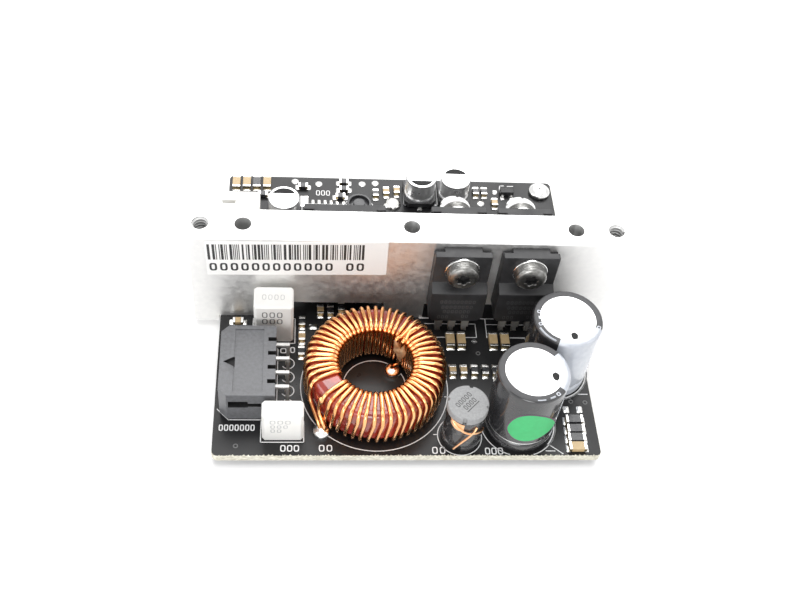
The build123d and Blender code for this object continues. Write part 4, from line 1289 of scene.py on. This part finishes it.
def add_corner_screw():
    centre, size = middle("corner_screw")
    radius = size.x / 2 / MM
    top = (centre.z + size.z / 2 - BOARD_TOP) / MM
    base = Vector((centre.x, centre.y, BOARD_TOP))
    build = Build()
    outline = smooth_profile([
        (0.9, 0.0), (radius, 0.0), (radius, top * 0.55), (radius * 0.6, top), (0, top)], 0.5)
    turned(build, base, outline, 96)
    shank = [(0.5, -3.6), (1.1, -3.6), (1.2, -3.45), (1.2, 0.0)]
    turned(build, base, shank, 48)
    add_piece("corner_screw_turned", build, [BRIGHT_STEEL], "plated_screw",
              "corner_screw", smooth_deg=45)
    marks = Build()
    # Painted shade: flat darker strips in a cross stand for the head's recess.
    for angle in (0.35, 0.35 + math.pi / 2):
        along = polar(1, angle)
        side = Vector((-along.y, along.x, 0))
        corners = ((-1.15, -0.17), (1.15, -0.17), (1.15, 0.17), (-1.15, 0.17))
        marks.flat([base + (along * a + side * b + UP * (top + 0.004)) * MM for a, b in corners])
    add_piece("corner_screw_recess_shade", marks, [TIN], "plated_screw")


def add_board_screws():
    """The heads under the board, with their shanks."""
    build = Build()
    for low, high in islands("board_screws"):
        base = box_middle(low, high, low.z)
        radius = (high.y - low.y) / 2 / MM
        head = (BOARD_LOW.z - low.z) / MM
        reach = (high.z - low.z) / MM
        turned(build, base, [(0.6, 0.9), (0.75, 0.0)] + smooth_profile([
            (0.8, 0.0), (radius - 0.6, 0.0), (radius, 0.6), (radius, head), (1.35, head), (1.35, reach),
            (0.02, reach)], 0.4), 64)
    add_piece("board_screws_turned", build, [BRIGHT_STEEL], "plated_screw",
              "board_screws", smooth_deg=45)


PACKAGE_ROWS = ((-3.3, 10.15, 9, 0.75), (-2.9, 8.6, 8, 0.75), (-2.5, 7.3, 7, 0.75), (-3.4, 5.65, 3, 0.75),
                (1.1, 5.9, 2, 0.75))


def add_package_print(node):
    """Rows of plain zeros where a package carries its print."""
    centre, size = middle(node)
    bar_y = middle("heatsink_bar")[0].y
    side = -1 if centre.y < bar_y else 1
    face_y = centre.y + side * (size.y / 2 + 0.01 * MM)
    across = Vector((-side, 0, 0))
    build = Build()
    for x, z, count, pitch in PACKAGE_ROWS:
        corner = Vector((centre.x, face_y, BOARD_TOP)) + (across * x + UP * z) * MM
        add_zeros(build, corner, across, UP, count, (0.5, 0.95), 0.12, pitch)
    add_piece(node + "_print", build, [EPOXY_PRINT], slot_of(node))


FILM_PRINT_UP = 0.008
FILM_ROWS = {
    "tall_film_capacitor": ((-2.1, 7.3, 3, (1.0, 1.6), 1.35), (-2.1, 5.4, 3, (1.0, 1.5), 1.35)),
    "short_film_capacitor": ((-2.2, 5.2, 3, (1.0, 1.2), 1.3), (-2.1, 3.8, 3, (0.8, 1.1), 1.1),
                             (-2.1, 2.5, 2, (0.8, 1.1), 1.1)),
}


def add_film_print():
    """Plain zeros on the film capacitors."""
    dark = Build()
    faint = Build()
    for node, build in (("tall_film_capacitor", dark), ("short_film_capacitor", faint)):
        low, high = (Vector(corner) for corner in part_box(node))
        for x, z, count, size, pitch in FILM_ROWS[node]:
            corner = Vector(((low.x + high.x) / 2 + x * MM, low.y - FILM_PRINT_UP * MM, BOARD_TOP + z * MM))
            add_zeros(build, corner, RIGHT, UP, count, size, 0.2, pitch)
    low, high = (Vector(corner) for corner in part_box("tall_film_capacitor"))
    corner = box_middle(low, high, high.z) + Vector((-2.1, -0.6, FILM_PRINT_UP)) * MM
    add_zeros(faint, corner, RIGHT, REAR, 4, (0.75, 1.2), 0.14, 1.1)
    add_piece("film_capacitor_print", dark, [FILM_PRINT], "label_white")
    add_piece("film_capacitor_faint_print", faint, [FAINT_PRINT],
              "label_white")


def add_chip_ends(node):
    """Chip ends, bright on top, with painted shade on their sides: a darker, warmer tone."""
    mesh = clean_copy(node)
    for polygon in mesh.polygons:
        polygon.material_index = 0 if polygon.normal.z > 0.5 else 1
    piece = add_piece(node + "_dressed", mesh, [SOLDER, END_SIDE_PAINTED_SHADE], slot_of(node), node)
    soften(piece, 0.07)


RECESS = 0.3
MARK_PIT = 0.7
MARK_REACH = 1.0


def add_connector():
    """The input connector, with black painted shade inside its slots, notches, mouth and pin-1 pit."""
    node = "input_connector"
    mesh = clean_copy(node)
    low, high = (Vector(corner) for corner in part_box(node))
    for polygon in mesh.polygons:
        places = [mesh.vertices[i].co for i in polygon.vertices]
        lowest = min(place.z for place in places)
        inset = 0.0
        for axis in range(3):
            if polygon.normal[axis] > 0.95:
                inset = high[axis] - polygon.center[axis]
            elif polygon.normal[axis] < -0.95:
                inset = polygon.center[axis] - low[axis]
        in_recess = high.z - lowest < RECESS * MM
        leftmost = min(place.x for place in places)
        in_mark = high.z - lowest < MARK_PIT * MM and leftmost < low.x + MARK_REACH * MM
        # Faces set in deeper than the recess, and the walls of the pin-1 pit, get the black painted shade.
        if (inset > RECESS * MM and not in_recess) or (in_mark and not in_recess):
            polygon.material_index = 1
    piece = add_piece(node + "_dressed", mesh, [GREY_PLASTIC, BLACK_SHADE_AND_PRINT], slot_of(node), node)
    soften(piece, 0.08)


PACKAGE_EDGE, LEAD_EDGE, NUT_EDGE = 0.12, 0.05, 0.08
# Nodes whose own form is kept: finish, softened edge in mm, and names
DRESSED = (
    (TIN, 0.08, "input_connector_pins"),
    (WHITE_PLASTIC, 0.12, "output_connector"),
    (TIN, 0.08, "output_connector_pins"),
    (FILM_CASE, 0.05, "tall_film_capacitor", "short_film_capacitor"),
    (TIN, 0.03, "film_capacitor_leads", "can_leads"),
    (RAW_COPPER, 0.03, "choke_leads"),
    (BLACK_BASE, 0.1, "chip_capacitor_bases"),
    (TIN, 0.04, "chip_capacitor_tabs"),
    (EPOXY, 0.06, "controller_body"),
    (TIN, 0.02, "controller_leads"),
    (EPOXY, 0.05, "small_transistor"),
    (TIN, 0.04, "small_transistor_leads"),
    (DARK_FERRITE, 0.1, "round_choke"),
    (TAN_CERAMIC, 0.05, "ceramic_chips"),
    (CHIP_GLAZE, 0.05, "resistor_chips"),
)


# Making

bpy.context.scene.view_settings.view_transform = "Standard"
add_camera()
add_world()
add_floor()
for lamp in LAMPS:
    add_lamp(*lamp)

for make in (add_board, add_silkscreen, add_solder, add_domes, add_joints, add_bar, add_threads, add_label,
             add_core, add_winding):
    make()
for node in ("front_can", "rear_can"):
    add_can(node)
patch_on_can("front_can", "green_sticker_edge", STICKER_EDGE, STICKER_LINE, 0.02, 1.05)
patch_on_can("front_can", "green_sticker", STICKER, STICKER_LINE, 0.05)
# The rear chokes' tops take the pale painted-light copy of the ferrite.
for node, top in (("front_choke", FERRITE), ("rear_left_choke", FERRITE_PAINTED_LIGHT),
                  ("rear_right_choke", FERRITE_PAINTED_LIGHT)):
    add_choke(node, top)
for make in (add_choke_wires, add_chip_cans, add_package_screws, add_corner_screw, add_board_screws,
             add_film_print, add_board_teeth):
    make()
for place in ("front_left", "front_right", "rear_left", "rear_right"):
    node = place + "_transistor"
    dress(node, EPOXY, PACKAGE_EDGE)
    add_package_print(node)
    dress(node + "_leads", LEAD, LEAD_EDGE)
dress("wide_rectifier", EPOXY, PACKAGE_EDGE)
dress("wide_rectifier_leads", LEAD, LEAD_EDGE)
add_connector()
for mat, edge_mm, *dressed in DRESSED:
    for node in dressed:
        dress(node, mat, edge_mm)
for node in ("ceramic_chip_ends", "resistor_chip_ends"):
    add_chip_ends(node)
dress("corner_nut", BRIGHT_STEEL, NUT_EDGE)
